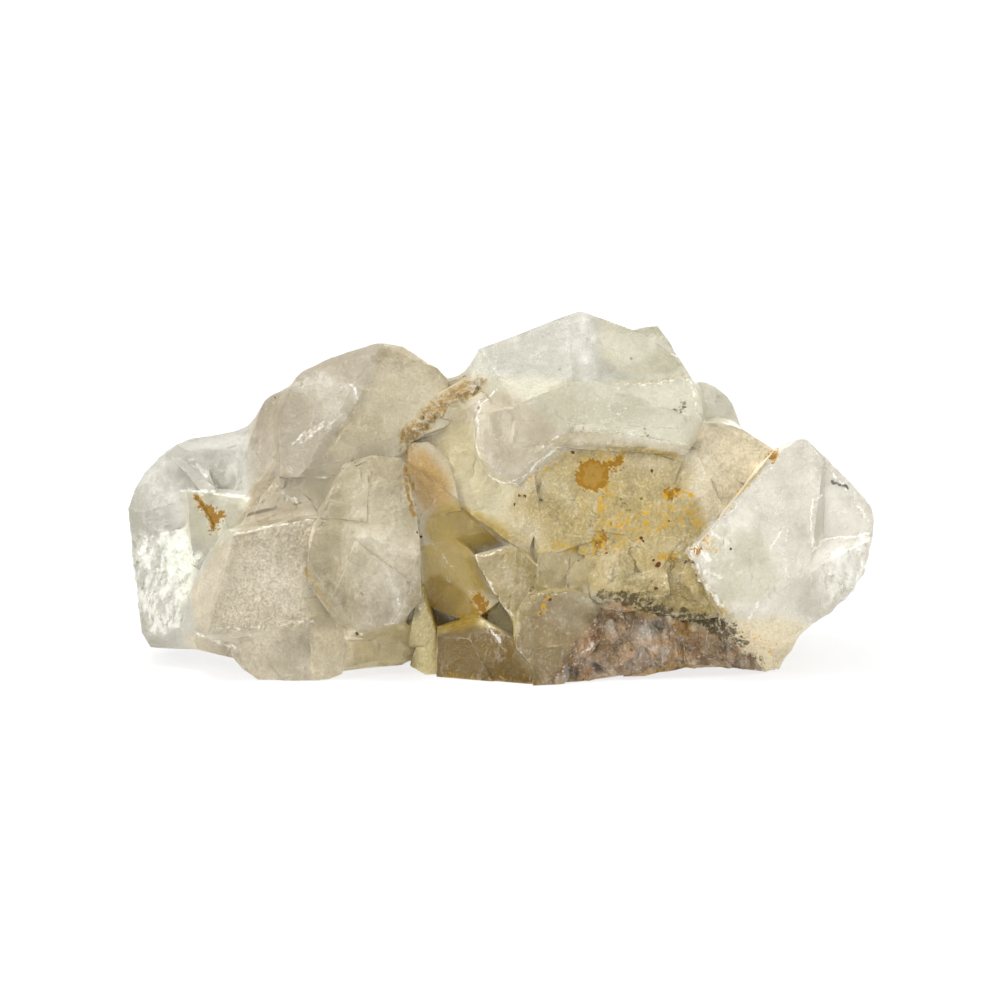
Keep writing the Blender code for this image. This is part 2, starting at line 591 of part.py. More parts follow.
def ochre_vein():
    """The rough, iron-stained strip between the hump and the large crystal: one slab with crumbs along it."""
    crystal(
        "vein_slab",
        [(-1.6, 43.4), (-5.4, 43.9), (-10, 41.2), (-13, 37), (-14.6, 34.2), (-9, 35.8), (-2, 40.4)],
        at=(-7.4, -14.2, 40), yaw=-5, pitch=22, reach=18,
    )
    crystal(
        "vein_notch",
        [(-3.8, 44.6), (-5.2, 44.2), (-8.3, 43.3), (-9, 40), (-4, 40)],
        at=(-6, -8.5, 43), yaw=6, pitch=16, reach=24,
    )
    for n in range(CRUMB_COUNT):
        share = n / (CRUMB_COUNT - 1)
        cube(
            f"vein_crumb_{n}",
            (-13.2 + 11 * share + rng.uniform(-0.5, 0.5), -15.4 + 1.6 * share, 35.8 + 6.4 * share
             + rng.uniform(-0.9, 0.9)),
            rng.uniform(*CRUMB_EDGES),
            turned([rng.uniform(0, 90) for _ in range(3)]),
        )


# --- the right side -------------------------------------------------------------------------------------


def right_shoulder():
    """The small clear crystal behind and the tan block below it."""
    crystal(
        "rear_clear_crystal",
        [(34.4, 42.5), (33, 43.1), (31, 43.3), (28, 42), (28, 34), (38.8, 34), (38.6, 36), (37.2, 39.7),
         (36.4, 40.8)],
        at=(34, -10, 39), yaw=16, pitch=12, reach=26, waist=4,
        cleavages=[((32.6, 42.6), (31.6, 35), 24), ((37.4, 36), (35, 41.8), 24), ((35.4, 41.4), (30, 42.3), 32)],
    )
    crystal(
        "tan_block",
        [(35.5, 36.9), (31.6, 36.6), (28.2, 31), (29.4, 26), (31, 18), (36, 16), (40, 22), (44, 29),
         (44.4, 31.5), (43.4, 32.7), (38.8, 35.5)],
        at=(36, -18.2, 29), yaw=13, pitch=8, reach=28, waist=-4,
        cleavages=[
            ((32.6, 37), (31.4, 18), 26),
            ((42.2, 30), (43, 33), 30),
            ((43, 31.8), (34, 36), 34),
        ],
        steps=[((40.6, 25), (33.4, 31.4), 0.4)],
    )


def right_crystal():
    """The clear crystal at the right end, with a broken hollow and cleaved ledges on its outer side."""
    crystal(
        "right_main",
        [(48.7, 34.1), (47.4, 34), (44, 32.8), (42.6, 29.8), (35, 20.8), (31.6, 17.4), (31.2, 13), (37, 2.6),
         (44, 1), (47.4, 3.4), (52.3, 6.3), (56.1, 10), (58.3, 14.4), (59.3, 18.6), (59.6, 21.5), (59, 23.7),
         (53, 29.9), (50, 32.9)],
        at=(43, -24.6, 20), yaw=11, pitch=13, reach=34, waist=-8,
        cleavages=[
            ((58.4, 20), (51, 31.4), 26),
            ((43.6, 32), (33, 20), 22),
            ((36.4, 20.4), (42, 9), 12),
            ((36.4, 8.4), (52, 9.4), 34),
            ((50.4, 13.4), (59.6, 18.6), 20),
            ((57.4, 10), (58.8, 20), 26, 5),
            ((48.4, 33.3), (43.4, 31.3), 24, 2),
        ],
        hollows=[
            [((49.4, 14.6), (51, 27), 52), ((59.6, 17.8), (49.8, 14.4), 34), ((54.6, 29.2), (59.8, 20.8), 17)],
            [((45.4, 21), (45.2, 8), 22), ((50.6, 8), (49.8, 21), 22), ((44, 20.4), (51, 21.6), 36)],
        ],
    )
    crystal(
        "right_end",
        [(53, 28), (49, 20), (50, 8), (53.6, 8.2), (56, 11), (58.2, 15.6), (59, 19), (59, 23), (57, 26)],
        at=(54, -14.6, 18), yaw=24, pitch=6, reach=30, waist=-2,
        cleavages=[((57.4, 10), (58.8, 22), 30)],
        terraces=2,
    )
    crystal(
        "cleaved_ledge",
        [(59.0, 18.2), (53.6, 16.4), (53, 14.2), (56, 13.6), (58.2, 15.4)],
        at=(56, -20.2, 16.4), yaw=22, pitch=8, reach=12,
        cleavages=[((58.6, 17.4), (53.4, 15.6), 40)],
    )
    crystal(
        "sparkling_step",
        [(55.6, 13.4), (51.6, 13.6), (51.2, 9.2), (54.4, 9.2)],
        at=(53.4, -20.9, 12), yaw=20, pitch=-8, reach=12, terraces=1,
    )
    crystal(
        "ripple_face",
        [(37.6, 17.6), (33.2, 18), (31.8, 12), (34, 6.6), (41, 7.4), (43.4, 10.4)],
        at=(37, -25.4, 13), yaw=-8, pitch=6, reach=16,
        cleavages=[((41.4, 15), (34, 9.4), 12)],
    )
    crystal(
        "right_lower_face",
        [(46, 8), (41, 10), (34.2, 8.2), (35.6, 2), (42, -3.1), (44.2, -2.6), (45.9, -0.5), (46.3, 1.8),
         (47.6, 3.8)],
        at=(41, -21.8, 5), yaw=10, pitch=-20, reach=24,
        cleavages=[((44.6, -3), (43.4, 9), 18)],
        terraces=2,
    )
    flakes = [(29.9, 16.5, 5.6, 3.0), (31.0, 14.3, 4.8, 2.4), (32.4, 12.0, 4.6, 2.4), (33.2, 9.6, 4.0, 2.2)]
    for n, (x, z, length, width) in enumerate(flakes):
        crystal(
            f"flake_{n}",
            [(x, z), (x + 0.4 * length, z + 0.55 * width), (x + length, z + 0.6 * width),
             (x + length, z - 0.5 * width), (x + 0.35 * length, z - 0.6 * width)],
            at=(x, -24.2 - 0.3 * n, z), yaw=-22 + 5 * n, pitch=6 - 8 * n, reach=10,
        )


def purple_base():
    """The granular purple seam that the cluster grew from, low on the right, set with small cubes."""
    crystal(
        "seam_left",
        [(21.6, 9.6), (18.5, 9.4), (14.6, 6.4), (12, 1), (9.5, -4.7), (18, -3.8), (23.4, -3.1), (26, -2), (26, 7)],
        at=(18, -24.4, 2), yaw=6, pitch=4, reach=30,
        cleavages=[((20, -5), (21, 9), 16), ((18.4, 9), (13.6, 1), 20)],
        terraces=2,
    )
    crystal(
        "seam_middle",
        [(35, 8.2), (22, 9), (19.6, -3.8), (26, -2.1), (29, -1.6), (34, -1.9)],
        at=(28, -22.8, 3), yaw=12, pitch=2, reach=34,
        cleavages=[((27, -2.6), (29.4, 8.6), 12)],
        terraces=2,
    )
    crystal(
        "seam_right",
        [(33.4, 8.4), (29, 8), (29.4, -1.7), (34, -2.1), (38, -2.6), (43.8, -2.8), (44.6, -1), (41, 3)],
        at=(33, -21.8, 3), yaw=18, pitch=2, reach=34,
        cleavages=[((41, -3), (34.6, 7.4), 22)],
        terraces=1,
    )
    seam_cubes = [
        (23, -22.8, 7.2, 3.6), (29.2, -21.6, 4.6, 3.8), (17.4, -24, 3.2, 3.2), (20, -24, 0.4, 2.8),
        (25.6, -22.6, 1.6, 3.0), (33.4, -20.4, 2.2, 3.4), (36.8, -19.4, 1.6, 2.8), (31, -21.4, 0.6, 2.6),
        (26.8, -22.4, 5.4, 2.4), (22, -23.6, 3.2, 2.6), (39.4, -18.4, 0.4, 2.4), (15.4, -24.6, 0.4, 2.6),
        (18.6, -24, 6.2, 2.4), (27.8, -22.6, 0.4, 2.2), (22.4, -23.6, -0.6, 2.6), (35, -20.6, 4.4, 2.6),
        (31.6, -21, 6.2, 2.4), (13.2, -25.2, 1.8, 2.2),
    ]
    for n, (x, y, z, edge) in enumerate(seam_cubes):
        tilt = turned([rng.uniform(-SEAM_CUBE_TILT, SEAM_CUBE_TILT) for _ in range(3)])
        cube(f"seam_cube_{n}", (x, y + SEAM_CUBE_SINK, z), edge, tilt)


# --- the back -------------------------------------------------------------------------------------------


def back_blocks():
    """The hidden side: broken blocks like those in front, lower and wider, with whole cubes between them."""
    crystal(
        "back_left_end",
        [(-38, 33), (-50, 31), (-55.6, 26), (-57, 18), (-55, 8), (-50, 3), (-36, 3), (-32, 16)],
        at=(-45, 15, 18), yaw=-24, pitch=10, reach=28, side=BACK, waist=0,
        cleavages=[((-38, 27), (-56, 24), 30), ((-52, 30), (-51, 6), 26), ((-40, 5), (-38, 30), 30)],
        terraces=2,
    )
    crystal(
        "back_left_foot",
        [(-22, 20), (-34, 25), (-45, 15), (-44, 2), (-24, 2), (-18, 10)],
        at=(-32, 26, 13), yaw=-10, pitch=14, reach=30, side=BACK,
        cleavages=[((-20, 17), (-36, 22), 34), ((-36, 24), (-42, 4), 30), ((-24, 4), (-21, 20), 36)],
        terraces=2,
    )
    crystal(
        "back_hump",
        [(-10, 42), (-15, 46.6), (-20, 48), (-30, 44.6), (-35, 38), (-32, 24), (-14, 22), (-8, 34)],
        at=(-22, 17.5, 36), yaw=-6, pitch=20, reach=30, side=BACK, waist=2,
        cleavages=[((-12, 44), (-30, 43), 32), ((-26, 46), (-31, 26), 34), ((-14, 26), (-12, 44), 30)],
        terraces=2,
    )
    crystal(
        "back_middle",
        [(6, 31), (-8, 37), (-20, 29), (-20, 10), (-12, 1), (8, 1), (13, 16)],
        at=(-5, 29, 18), yaw=8, pitch=12, reach=32, side=BACK,
        cleavages=[((6, 26), (-14, 30), 36), ((-12, 34), (-16, 6), 32), ((4, 4), (8, 26), 36)],
        terraces=2,
    )
    crystal(
        "back_large_cap",
        [(25, 50.4), (13, 53.4), (4, 50.6), (-3.6, 45), (-4, 30), (10, 25), (27, 29), (30.4, 42)],
        at=(13, 15.5, 40), yaw=4, pitch=19, reach=30, side=BACK, waist=2,
        cleavages=[((26, 46), (0, 45), 30), ((4, 52), (1, 28), 30), ((24, 26), (26, 50), 34)],
        terraces=2,
    )
    crystal(
        "back_large_foot",
        [(30, 34), (15, 38), (6, 29), (8, 10), (20, 2), (35, 8), (37, 26)],
        at=(21, 26.5, 20), yaw=12, pitch=10, reach=32, side=BACK,
        cleavages=[((32, 30), (12, 34), 34), ((12, 36), (10, 8), 28), ((28, 4), (32, 32), 34)],
        terraces=2,
    )
    crystal(
        "back_right_end",
        [(55, 27), (47.6, 33), (40, 31), (33, 20), (36, 6), (48, 4.6), (55, 11), (58, 20)],
        at=(46, 11.5, 19), yaw=20, pitch=8, reach=30, side=BACK, waist=-2,
        cleavages=[((56, 24), (40, 29), 32), ((38, 30), (38, 8), 24), ((52, 6), (54, 28), 30)],
        terraces=2,
    )
    crystal(
        "back_right_foot",
        [(45, 19), (33, 25), (23, 15), (24, 1), (42, 1), (49, 9)],
        at=(36, 21, 12), yaw=16, pitch=12, reach=30, side=BACK,
        cleavages=[((46, 16), (28, 20), 36), ((30, 22), (26, 3), 26), ((42, 3), (44, 20), 34)],
        terraces=2,
    )
    back_cubes = [
        ((-14, 18, 33), 13, (22, 38, 14)), ((4, 21, 36), 12, (-24, 30, 48)), ((-28, 20, 27), 12, (38, 12, 30)),
        ((27, 19, 32), 12, (14, 44, 20)), ((-44, 15, 11), 13, (28, 16, 52)), ((14, 28, 12), 12, (44, 24, 8)),
        ((-19, 27, 11), 11, (18, 50, 26)), ((40, 14, 24), 11, (52, 20, 34)), ((30, 24, 9), 11, (30, 30, 66)),
        ((-38, 16, 24), 10, (12, 28, 60)), ((48, 8, 12), 12, (24, 42, 12)), ((-50, 4, 14), 12, (34, 28, 18)),
        ((52, -2, 17), 11, (40, 14, 40)), ((-52, 2, 24), 9, (10, 36, 24)), ((-3, 26, 26), 10, (50, 40, 10)),
    ]
    for n, (centre, edge, turn) in enumerate(back_cubes):
        cube(f"back_cube_{n}", centre, edge, turned(turn), tips=0.3)


def core():
    """The mass that all the blocks share."""
    return crystal(
        "core",
        [(25, 44), (0, 44), (-15, 41), (-30, 38), (-46, 29), (-48, 4), (-30, -1), (30, -1), (46, 4), (49, 22),
         (42, 28), (36, 36)],
        at=(0, -9, 20), reach=29,
    )


# --- fusing, leaning and standing -----------------------------------------------------------------------


def stone_material():
    material = bpy.data.materials.new("fluorite")
    material.use_nodes = True
    surface = material.node_tree.nodes["Principled BSDF"]
    surface.inputs["Base Color"].default_value = (0.72, 0.70, 0.60, 1)
    surface.inputs["Roughness"].default_value = 0.2
    surface.inputs["Metallic"].default_value = 0.0
    return material


def keep_outer_shell(obj):
    """Deletes every shell but the widest: the rest are pockets between blocks, closed off inside the mass."""
    bm = bmesh.new()
    bm.from_mesh(obj.data)
    shells, seen = [], set()
    for start in bm.verts:
        if start in seen:
            continue
        shell, queue = [], [start]
        seen.add(start)
        while queue:
            vert = queue.pop()
            shell.append(vert)
            for edge in vert.link_edges:
                other = edge.other_vert(vert)
                if other not in seen:
                    seen.add(other)
                    queue.append(other)
        shells.append(shell)
    shells.sort(key=lambda shell: max(v.co.x for v in shell) - min(v.co.x for v in shell))
    bmesh.ops.delete(bm, geom=[v for shell in shells[:-1] for v in shell], context="VERTS")
    bm.to_mesh(obj.data)
    bm.free()


def main():
    cluster = core()
    left_end()
    upper_left_hump()
    front_left_crystals()
    lower_left_feet()
    middle_hollow()
    low_middle_crystals()
    large_clear_crystal()
    rough_faces()
    ochre_vein()
    right_shoulder()
    right_crystal()
    purple_base()
    back_blocks()

    cluster.name = NAME
    cluster.hide_render = False
    cluster.display_type = "TEXTURED"
    cluster_collection.objects.link(cluster)
    block_collection.objects.unlink(cluster)
    apply_boolean(cluster, "UNION", block_collection)
    keep_outer_shell(cluster)

    show_frame = bpy.data.objects.new("show_frame", None)
    cluster_collection.objects.link(show_frame)
    show_frame.rotation_euler.x = -SHOW_LEAN
    show_frame.scale = (MM, MM, MM)
    for block in (cluster, *block_collection.objects):
        block.parent = show_frame
    cluster.data.materials.clear()
    cluster.data.materials.append(stone_material())

    bm = bmesh.new()
    bmesh.ops.create_cube(bm, size=GROUND_SIZE)
    bmesh.ops.translate(bm, verts=bm.verts, vec=(0, 0, -GROUND_SIZE / 2))
    ground = add_block("ground_cutter", bm)
    bpy.context.view_layer.update()
    apply_boolean(cluster, "DIFFERENCE", ground)
    keep_outer_shell(cluster)

    corners = [cluster.matrix_world @ v.co for v in cluster.data.vertices]
    across = [c.x for c in corners]
    deep = [c.y for c in corners]
    show_frame.location.x -= (min(across) + max(across)) / 2
    show_frame.location.y -= (min(deep) + max(deep)) / 2


main()
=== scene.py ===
"""A hand-sized fluorite cluster: clear and cloudy cleaved crystals grown together,
with rust stains, a purple seam and a flat broken underside."""

import math

import bmesh
import bpy
import numpy as np
from mathutils import Matrix, Vector, noise
from mathutils.kdtree import KDTree


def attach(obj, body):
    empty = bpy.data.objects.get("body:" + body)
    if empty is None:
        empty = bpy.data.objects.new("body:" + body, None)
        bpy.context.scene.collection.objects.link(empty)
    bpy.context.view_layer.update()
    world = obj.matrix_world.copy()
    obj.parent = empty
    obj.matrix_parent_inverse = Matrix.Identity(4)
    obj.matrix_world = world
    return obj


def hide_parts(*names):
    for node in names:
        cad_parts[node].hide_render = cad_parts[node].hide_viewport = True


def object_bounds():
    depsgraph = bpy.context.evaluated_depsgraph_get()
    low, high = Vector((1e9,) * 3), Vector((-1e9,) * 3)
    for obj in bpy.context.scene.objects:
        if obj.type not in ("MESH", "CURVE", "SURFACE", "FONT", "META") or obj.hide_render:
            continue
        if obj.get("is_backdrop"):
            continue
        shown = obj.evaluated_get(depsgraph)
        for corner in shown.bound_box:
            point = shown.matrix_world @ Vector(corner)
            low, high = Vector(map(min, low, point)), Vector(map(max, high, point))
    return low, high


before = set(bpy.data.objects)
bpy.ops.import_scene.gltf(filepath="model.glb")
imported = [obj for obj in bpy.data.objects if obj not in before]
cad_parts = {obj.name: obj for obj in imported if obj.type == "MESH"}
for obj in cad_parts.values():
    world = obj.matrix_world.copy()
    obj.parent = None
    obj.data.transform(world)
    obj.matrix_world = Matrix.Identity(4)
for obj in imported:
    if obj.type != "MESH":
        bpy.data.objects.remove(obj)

cad_low, cad_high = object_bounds()

# ---------------------------------------------------------------- the grown mass
# One natural growth of fluorite with no separate pieces, resting on its broken base.
# A copy of the faceted solid has its long edges halved until the faces are fine enough
# to carry steps, chips and grain, and is then moved by less than a millimetre.
MM = 0.001
LEAN = math.radians(10)          # the show side leans back by this much
SHOW_ORIGIN = Vector((0.017, -4.301, 0)) * MM
FLAT_ANGLE = math.radians(.6)    # flatter joints than this are no edge at all,
FACET_ANGLE = math.radians(3)    # flatter ones than this lie within one crystal face,
SHARP_ANGLE = math.radians(12)   # and bolder ones than this wear and chip
SHARP_SPACING = .3 * MM
SMOOTH_ANGLE = math.radians(24)  # the fine relief is shaded smooth below this
# the longest edges left on the show side, the back, the base, hackly faces and stains
FINE_EDGE, COARSE_EDGE, BASE_EDGE, ROUGH_EDGE, MARKED_EDGE = (
    k * MM for k in (1, 1.8, 4, .6, .4))

bpy.ops.object.select_all(action="DESELECT")
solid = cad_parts["fluorite_cluster"]
mesh = solid.data.copy()
mesh.name = "crystal_cluster"
cluster = bpy.data.objects.new("crystal_cluster", mesh)
bpy.context.scene.collection.objects.link(cluster)

to_show = (Matrix.Translation(SHOW_ORIGIN) @ Matrix.Rotation(-LEAN, 4, "X")).inverted()


def show_points(points):
    """Points in millimetres across, away from the viewer and up the show face."""
    turned = np.c_[points, np.ones(len(points))] @ np.array(to_show).T
    return turned[:, :3] / MM


bm = bmesh.new()
bm.from_mesh(mesh)
bmesh.ops.remove_doubles(bm, verts=bm.verts, dist=1e-6)
bmesh.ops.dissolve_limit(bm, angle_limit=FLAT_ANGLE, verts=bm.verts, edges=bm.edges)
bmesh.ops.triangulate(bm, faces=bm.faces[:], ngon_method="BEAUTY")

# triangles that lie flat with each other get the number of their crystal face
facet_layer = bm.faces.layers.int.new("facet")
facets = 0
for start in bm.faces:
    if start[facet_layer]:
        continue
    facets += 1
    start[facet_layer] = facets
    front = [start]
    while front:
        face = front.pop()
        for edge in face.edges:
            if len(edge.link_faces) == 2 and edge.calc_face_angle() < FACET_ANGLE:
                for other in edge.link_faces:
                    if not other[facet_layer]:
                        other[facet_layer] = facets
                        front.append(other)

sharp_points = []
for edge in bm.edges:
    if edge.calc_face_angle_signed() > SHARP_ANGLE:
        a, b = (v.co for v in edge.verts)
        for step in np.arange(0, 1, SHARP_SPACING / max(edge.calc_length(), 1e-6)):
            sharp_points.append(a.lerp(b, float(step)))

view_out = Vector((0, -math.cos(LEAN), math.sin(LEAN)))
coarse = np.ones(facets + 1)
for face in bm.faces:
    shows = face.normal.dot(view_out) > .02
    coarse[face[facet_layer]] = (
        BASE_EDGE if face.normal.z < -.9 else FINE_EDGE if shows else COARSE_EDGE)
points = np.array([v.co for v in bm.verts])
triangles = np.array([[v.index for v in f.verts] for f in bm.faces])
facet_of = np.array([f[facet_layer] for f in bm.faces])
bm.free()

# The tints of the stone, as red, green and blue from 0 to 255. Several faces share each,
# from the clear ends and the cloudy crystals to the stained hollow and the purple seam.
SNOW, MILK, CREAM = (245, 240, 225), (225, 225, 210), (215, 210, 185)
ICE, SMOKE = (195, 193, 180), (170, 158, 135)
BONE, SAND = (205, 192, 165), (192, 178, 143)
PALE_STRAW, STRAW = (230, 215, 180), (210, 195, 145)
TAN, DRAB = (180, 160, 105), (160, 140, 100)
OLIVE, DEEP_OLIVE = (180, 150, 45), (160, 130, 30)
OCHRE, UMBER = (180, 140, 60), (110, 85, 20)
MAUVE_BROWN, LILAC_GREY = (145, 115, 80), (160, 135, 110)

# The faces: each zone is a crystal face or a group of them, named for where it lies
# on the show side, and later zones lie over earlier ones.
# name: corners (across, up) in mm, tint, clearness, frost, steps
ZONES = {
    "whole": ([(-90, -9), (90, -9), (90, 70), (-90, 70)], SAND, .4, .35, 0),
    # low_seams: tinted lighter than the stone around, as painted light against the shade in these pits
    "low_seams": ([(-16, 8), (4, 8), (4, -6), (-16, -6)], STRAW, .05, .4, 0),
    "left_block": ([(-62, -3), (-43, -3), (-46, 16), (-40, 26), (-36, 40), (-62, 40)],
                   ICE, .5, .25, .1),
    "left_top": ([(-57.5, 27), (-52, 33.5), (-44, 35), (-40, 34), (-39, 27), (-46, 26),
                  (-51.5, 26.5)], ICE, .45, .25, .1),
    "left_notch": ([(-50.5, 26), (-46, 25.6), (-40, 24.6), (-42, 18), (-46.5, 16.5),
                    (-50, 18.5)], CREAM, .45, .25, .1),
    "left_pearl": ([(-59, 19), (-52, 20), (-47, 16), (-49.5, 10), (-50.5, 4), (-55, 2),
                    (-59, 8)], ICE, .25, .3, .6),
    "left_wedge": ([(-54.5, 19.5), (-51.5, 19), (-47, 16), (-49.5, 10), (-50.5, 6),
                    (-53, 12)], MILK, .05, .3, .5),
    "hump_left": ([(-18, 50), (-31, 47), (-40, 42), (-40, 26), (-29, 24), (-22, 40.5)],
                  SMOKE, .35, .3, .1),
    "hump_right": ([(-18, 51), (-10, 47), (-6, 42), (-12, 37), (-16, 34.5), (-28, 31.5),
                    (-22, 40.5)], SAND, .4, .45, 0),
    "ledges": ([(-40, 27), (-34, 29), (-31, 24), (-29, 21.2), (-40, 20)],
               DRAB, .45, .35, .3),
    "grey_facet": ([(-31, 30), (-26, 30), (-25, 29), (-28, 22), (-29, 21.2), (-32, 22)],
                   SAND, .45, .2, 0),
    "frosted_side": ([(-42.5, 18), (-46, 15), (-49.5, 10), (-48, 2.5), (-43, 3.3)],
                     BONE, .4, .6, 0),
    "frosted_front": ([(-42.5, 18), (-36, 20), (-29, 21.2), (-30.5, 15), (-31, 11),
                       (-30.3, 4.5), (-43, 3.3), (-45.5, 5.5), (-41.5, 14)],
                      BONE, .28, 1, .1),
    "left_foot": ([(-50, 3), (-43, 3.3), (-30.3, 4.3), (-29.5, -6), (-50, -6)],
                  BONE, .42, .5, 0),
    "cloudy_cube": ([(-25, 30), (-20.5, 31.5), (-16, 31), (-14.5, 25), (-13, 18.5),
                     (-12.7, 6), (-20, 2.8), (-25, 3.5), (-31, 11), (-29, 21)],
                    SAND, .42, .4, .2),
    "cloudy_patch": ([(-30, 15), (-25, 14), (-22, 8), (-27, 7)], SAND, .4, .5, 0),
    "cloudy_bright": ([(-20, 17), (-13, 17), (-13, 11), (-16, 5), (-23, 3.5)],
                      BONE, .4, .4, .3),
    "foot_middle": ([(-30, 4), (-23, 3.5), (-23, -6), (-30, -6)], PALE_STRAW, .35, .4, 0),
    "foot_dark": ([(-23, 3), (-16.5, 4.5), (-13, 1), (-14, -6), (-24, -6)],
                  TAN, .35, .3, 0),
    "brown_facet": ([(-15.5, 32), (-12, 32.5), (-8, 28), (-7.5, 24), (-12.5, 22),
                     (-15, 29)], OCHRE, .2, .35, .1),
    "olive_upper": ([(-9, 23.5), (-7, 24), (1.2, 20.2), (1.5, 17.5), (-4.3, 15.5),
                     (-12, 18), (-12, 21.5)], OLIVE, .12, .15, 0),
    "olive_middle": ([(-12.6, 17), (-9, 18), (-4.3, 15.5), (-1.5, 9), (-6, 9.5),
                      (-12.3, 10)], OLIVE, .2, .25, 0),
    "olive_lower": ([(-12.3, 9.6), (-11.4, 12), (-9.6, 12.5), (-7.7, 11.2), (-4.8, 9.1),
                     (-3, 6.2), (-3.7, 3.4), (-10.4, 3.6)],
                    DEEP_OLIVE, .08, .15, 0),
    "foot_brown": ([(-10, 3), (-10, -6), (6, -6), (6.5, -2), (4.5, 2), (-3, 4.5)],
                   UMBER, .16, .25, 0),
    "small_crystals": ([(-4.3, 15.5), (2, 17), (9.5, 16.5), (21, 15.5), (21, 10),
                        (10, 9.6), (2.5, 5), (-1, 9)], TAN, .34, .4, .25),
    "lilac_crystal": ([(5, 8.5), (10.5, 9.5), (15.5, 6), (13.5, .5), (8, -6), (4, -2),
                       (2.5, 4)], DRAB, .32, .4, .1),
    "large_top": ([(-5, 48), (-5, 42), (0, 40), (32, 43), (33, 56), (-5, 56)],
                  ICE, .42, .1, 0),
    "large_bright": ([(-3.4, 49), (-5, 44), (-2, 42.5), (.5, 42), (-1, 46)],
                     MILK, .4, .1, 0),
    "large_ridge": ([(10.7, 53.1), (13.9, 54.6), (16, 47.2), (11.7, 46.2)],
                    ICE, .36, .1, 0),
    "large_right_top": ([(16, 54), (26, 53), (31, 43.5), (21.3, 43.5), (16, 47.2)],
                        CREAM, .42, .1, 0),
    "large_face": ([(-3.5, 42), (-3.5, 33), (0, 27.5), (7, 30.5), (11, 35), (29, 32),
                    (32.5, 37.5), (31, 43.3), (17, 43.2), (-1, 44)],
                   CREAM, .38, .15, .08),
    "large_lobe": ([(-4.3, 40.3), (1.6, 41.9), (9.6, 35.5), (5.3, 28), (1.6, 26.4), (-3.2, 31.2)],
                   BONE, .38, .12, .08),
    "large_band": ([(6.9, 32.8), (11.7, 35.5), (29.9, 33), (29.3, 31), (16, 32.4)],
                   SAND, .3, .2, .08),
    "yellow_face": ([(-8, 28), (-8.5, 30), (-10.5, 33), (-9, 35.5), (-4.5, 37),
                     (-3.5, 33), (-1.5, 28.5), (2, 27), (4, 25), (1.2, 20.2), (-7, 24)],
                    STRAW, .42, .3, 0),
    "stained_face": ([(2, 25), (6, 28.5), (10, 32), (20, 33), (28, 32), (31, 28),
                      (35, 20), (33, 15), (25, 13), (10, 16), (1.5, 17.5)],
                     TAN, .12, .6, .12),
    "under_face": ([(15, 14), (25, 14.5), (34, 15.5), (38, 6), (30, 6), (20, 8.5),
                    (15, 10)], TAN, .12, .6, .35),
    "tan_block": ([(32, 36), (39, 35.2), (44.5, 32.5), (40, 28), (35, 21), (33, 21.5),
                   (30.5, 26), (31, 33)], PALE_STRAW, .3, .65, 0),
    "rear_block": ([(31, 44), (40, 44), (39, 35.5), (36, 36.5), (32, 37)],
                   CREAM, .35, .2, 0),
    "right_main": ([(44.5, 35), (42.5, 29.8), (37, 24), (33, 20), (30, 16.3),
                    (33.5, 10), (37, 6), (46, 2), (62, 10), (62, 34)],
                   SNOW, .42, .15, .1),
    "right_middle": ([(45.9, 20.6), (49.6, 19.2), (50.6, 15.2), (51.7, 9.4), (46.1, 9)],
                     SNOW, .42, .12, .08),
    "right_low": ([(34.7, 20.2), (41.6, 19.2), (44.3, 11.7), (41.6, 8), (34.4, 8), (32.6, 15.2)],
                  CREAM, .36, .25, .12),
    "right_window": ([(51, 25), (49.5, 20), (50.3, 15.5), (53, 17), (59.5, 19),
                      (58, 22), (53, 28)], SNOW, .42, .08, 0),
    "right_chips": ([(53, 16), (59.5, 18.5), (58, 10), (52, 7), (51.5, 13)],
                    SNOW, .2, .3, .6),
    "right_tail": ([(34, 5), (44, 6), (50, 4), (46, -5), (38, -3)],
                   PALE_STRAW, .2, .5, .3),
    "purple_seam": ([(5, -6), (8, -4), (15, 6), (19, 8), (30, 4.5), (40, 0), (44, -5)],
                    MAUVE_BROWN, .12, .6, .49),
    "purple_deep": ([(11, -6), (14.5, 5), (19, 7), (24.5, 5.5), (24, -2), (20, -6)],
                    LILAC_GREY, .1, .6, .47),
    "purple_heart": ([(14, 4.6), (17.5, 7.2), (22, 6.6), (22.6, 1.5), (18.5, -1.5), (14, 1)],
                     MAUVE_BROWN, .1, .6, .47),
}
# the back is plainer: tints up to a place across in mm, and one finish
BACK = [(-22, (207, 198, 176)), (8, (194, 180, 148)), (31, (207, 197, 168)),
        (99, (221, 213, 194))]
BACK_FINISH = (.5, .35, .2)


def inside(corners, x, y):
    """True for each point inside the outline."""
    found = np.zeros(len(x), bool)
    for (x1, y1), (x2, y2) in zip(corners, corners[1:] + corners[:1]):
        if y1 != y2:
            found ^= ((y1 > y) != (y2 > y)) & (x < (x2 - x1) * (y - y1) / (y2 - y1) + x1)
    return found


def linear(tint):
    """A tint's linear red, green and blue, each from 0 to 1."""
    channels = [c / 255 for c in tint]
    return [c / 12.92 if c <= .04045 else ((c + .055) / 1.055) ** 2.4 for c in channels]
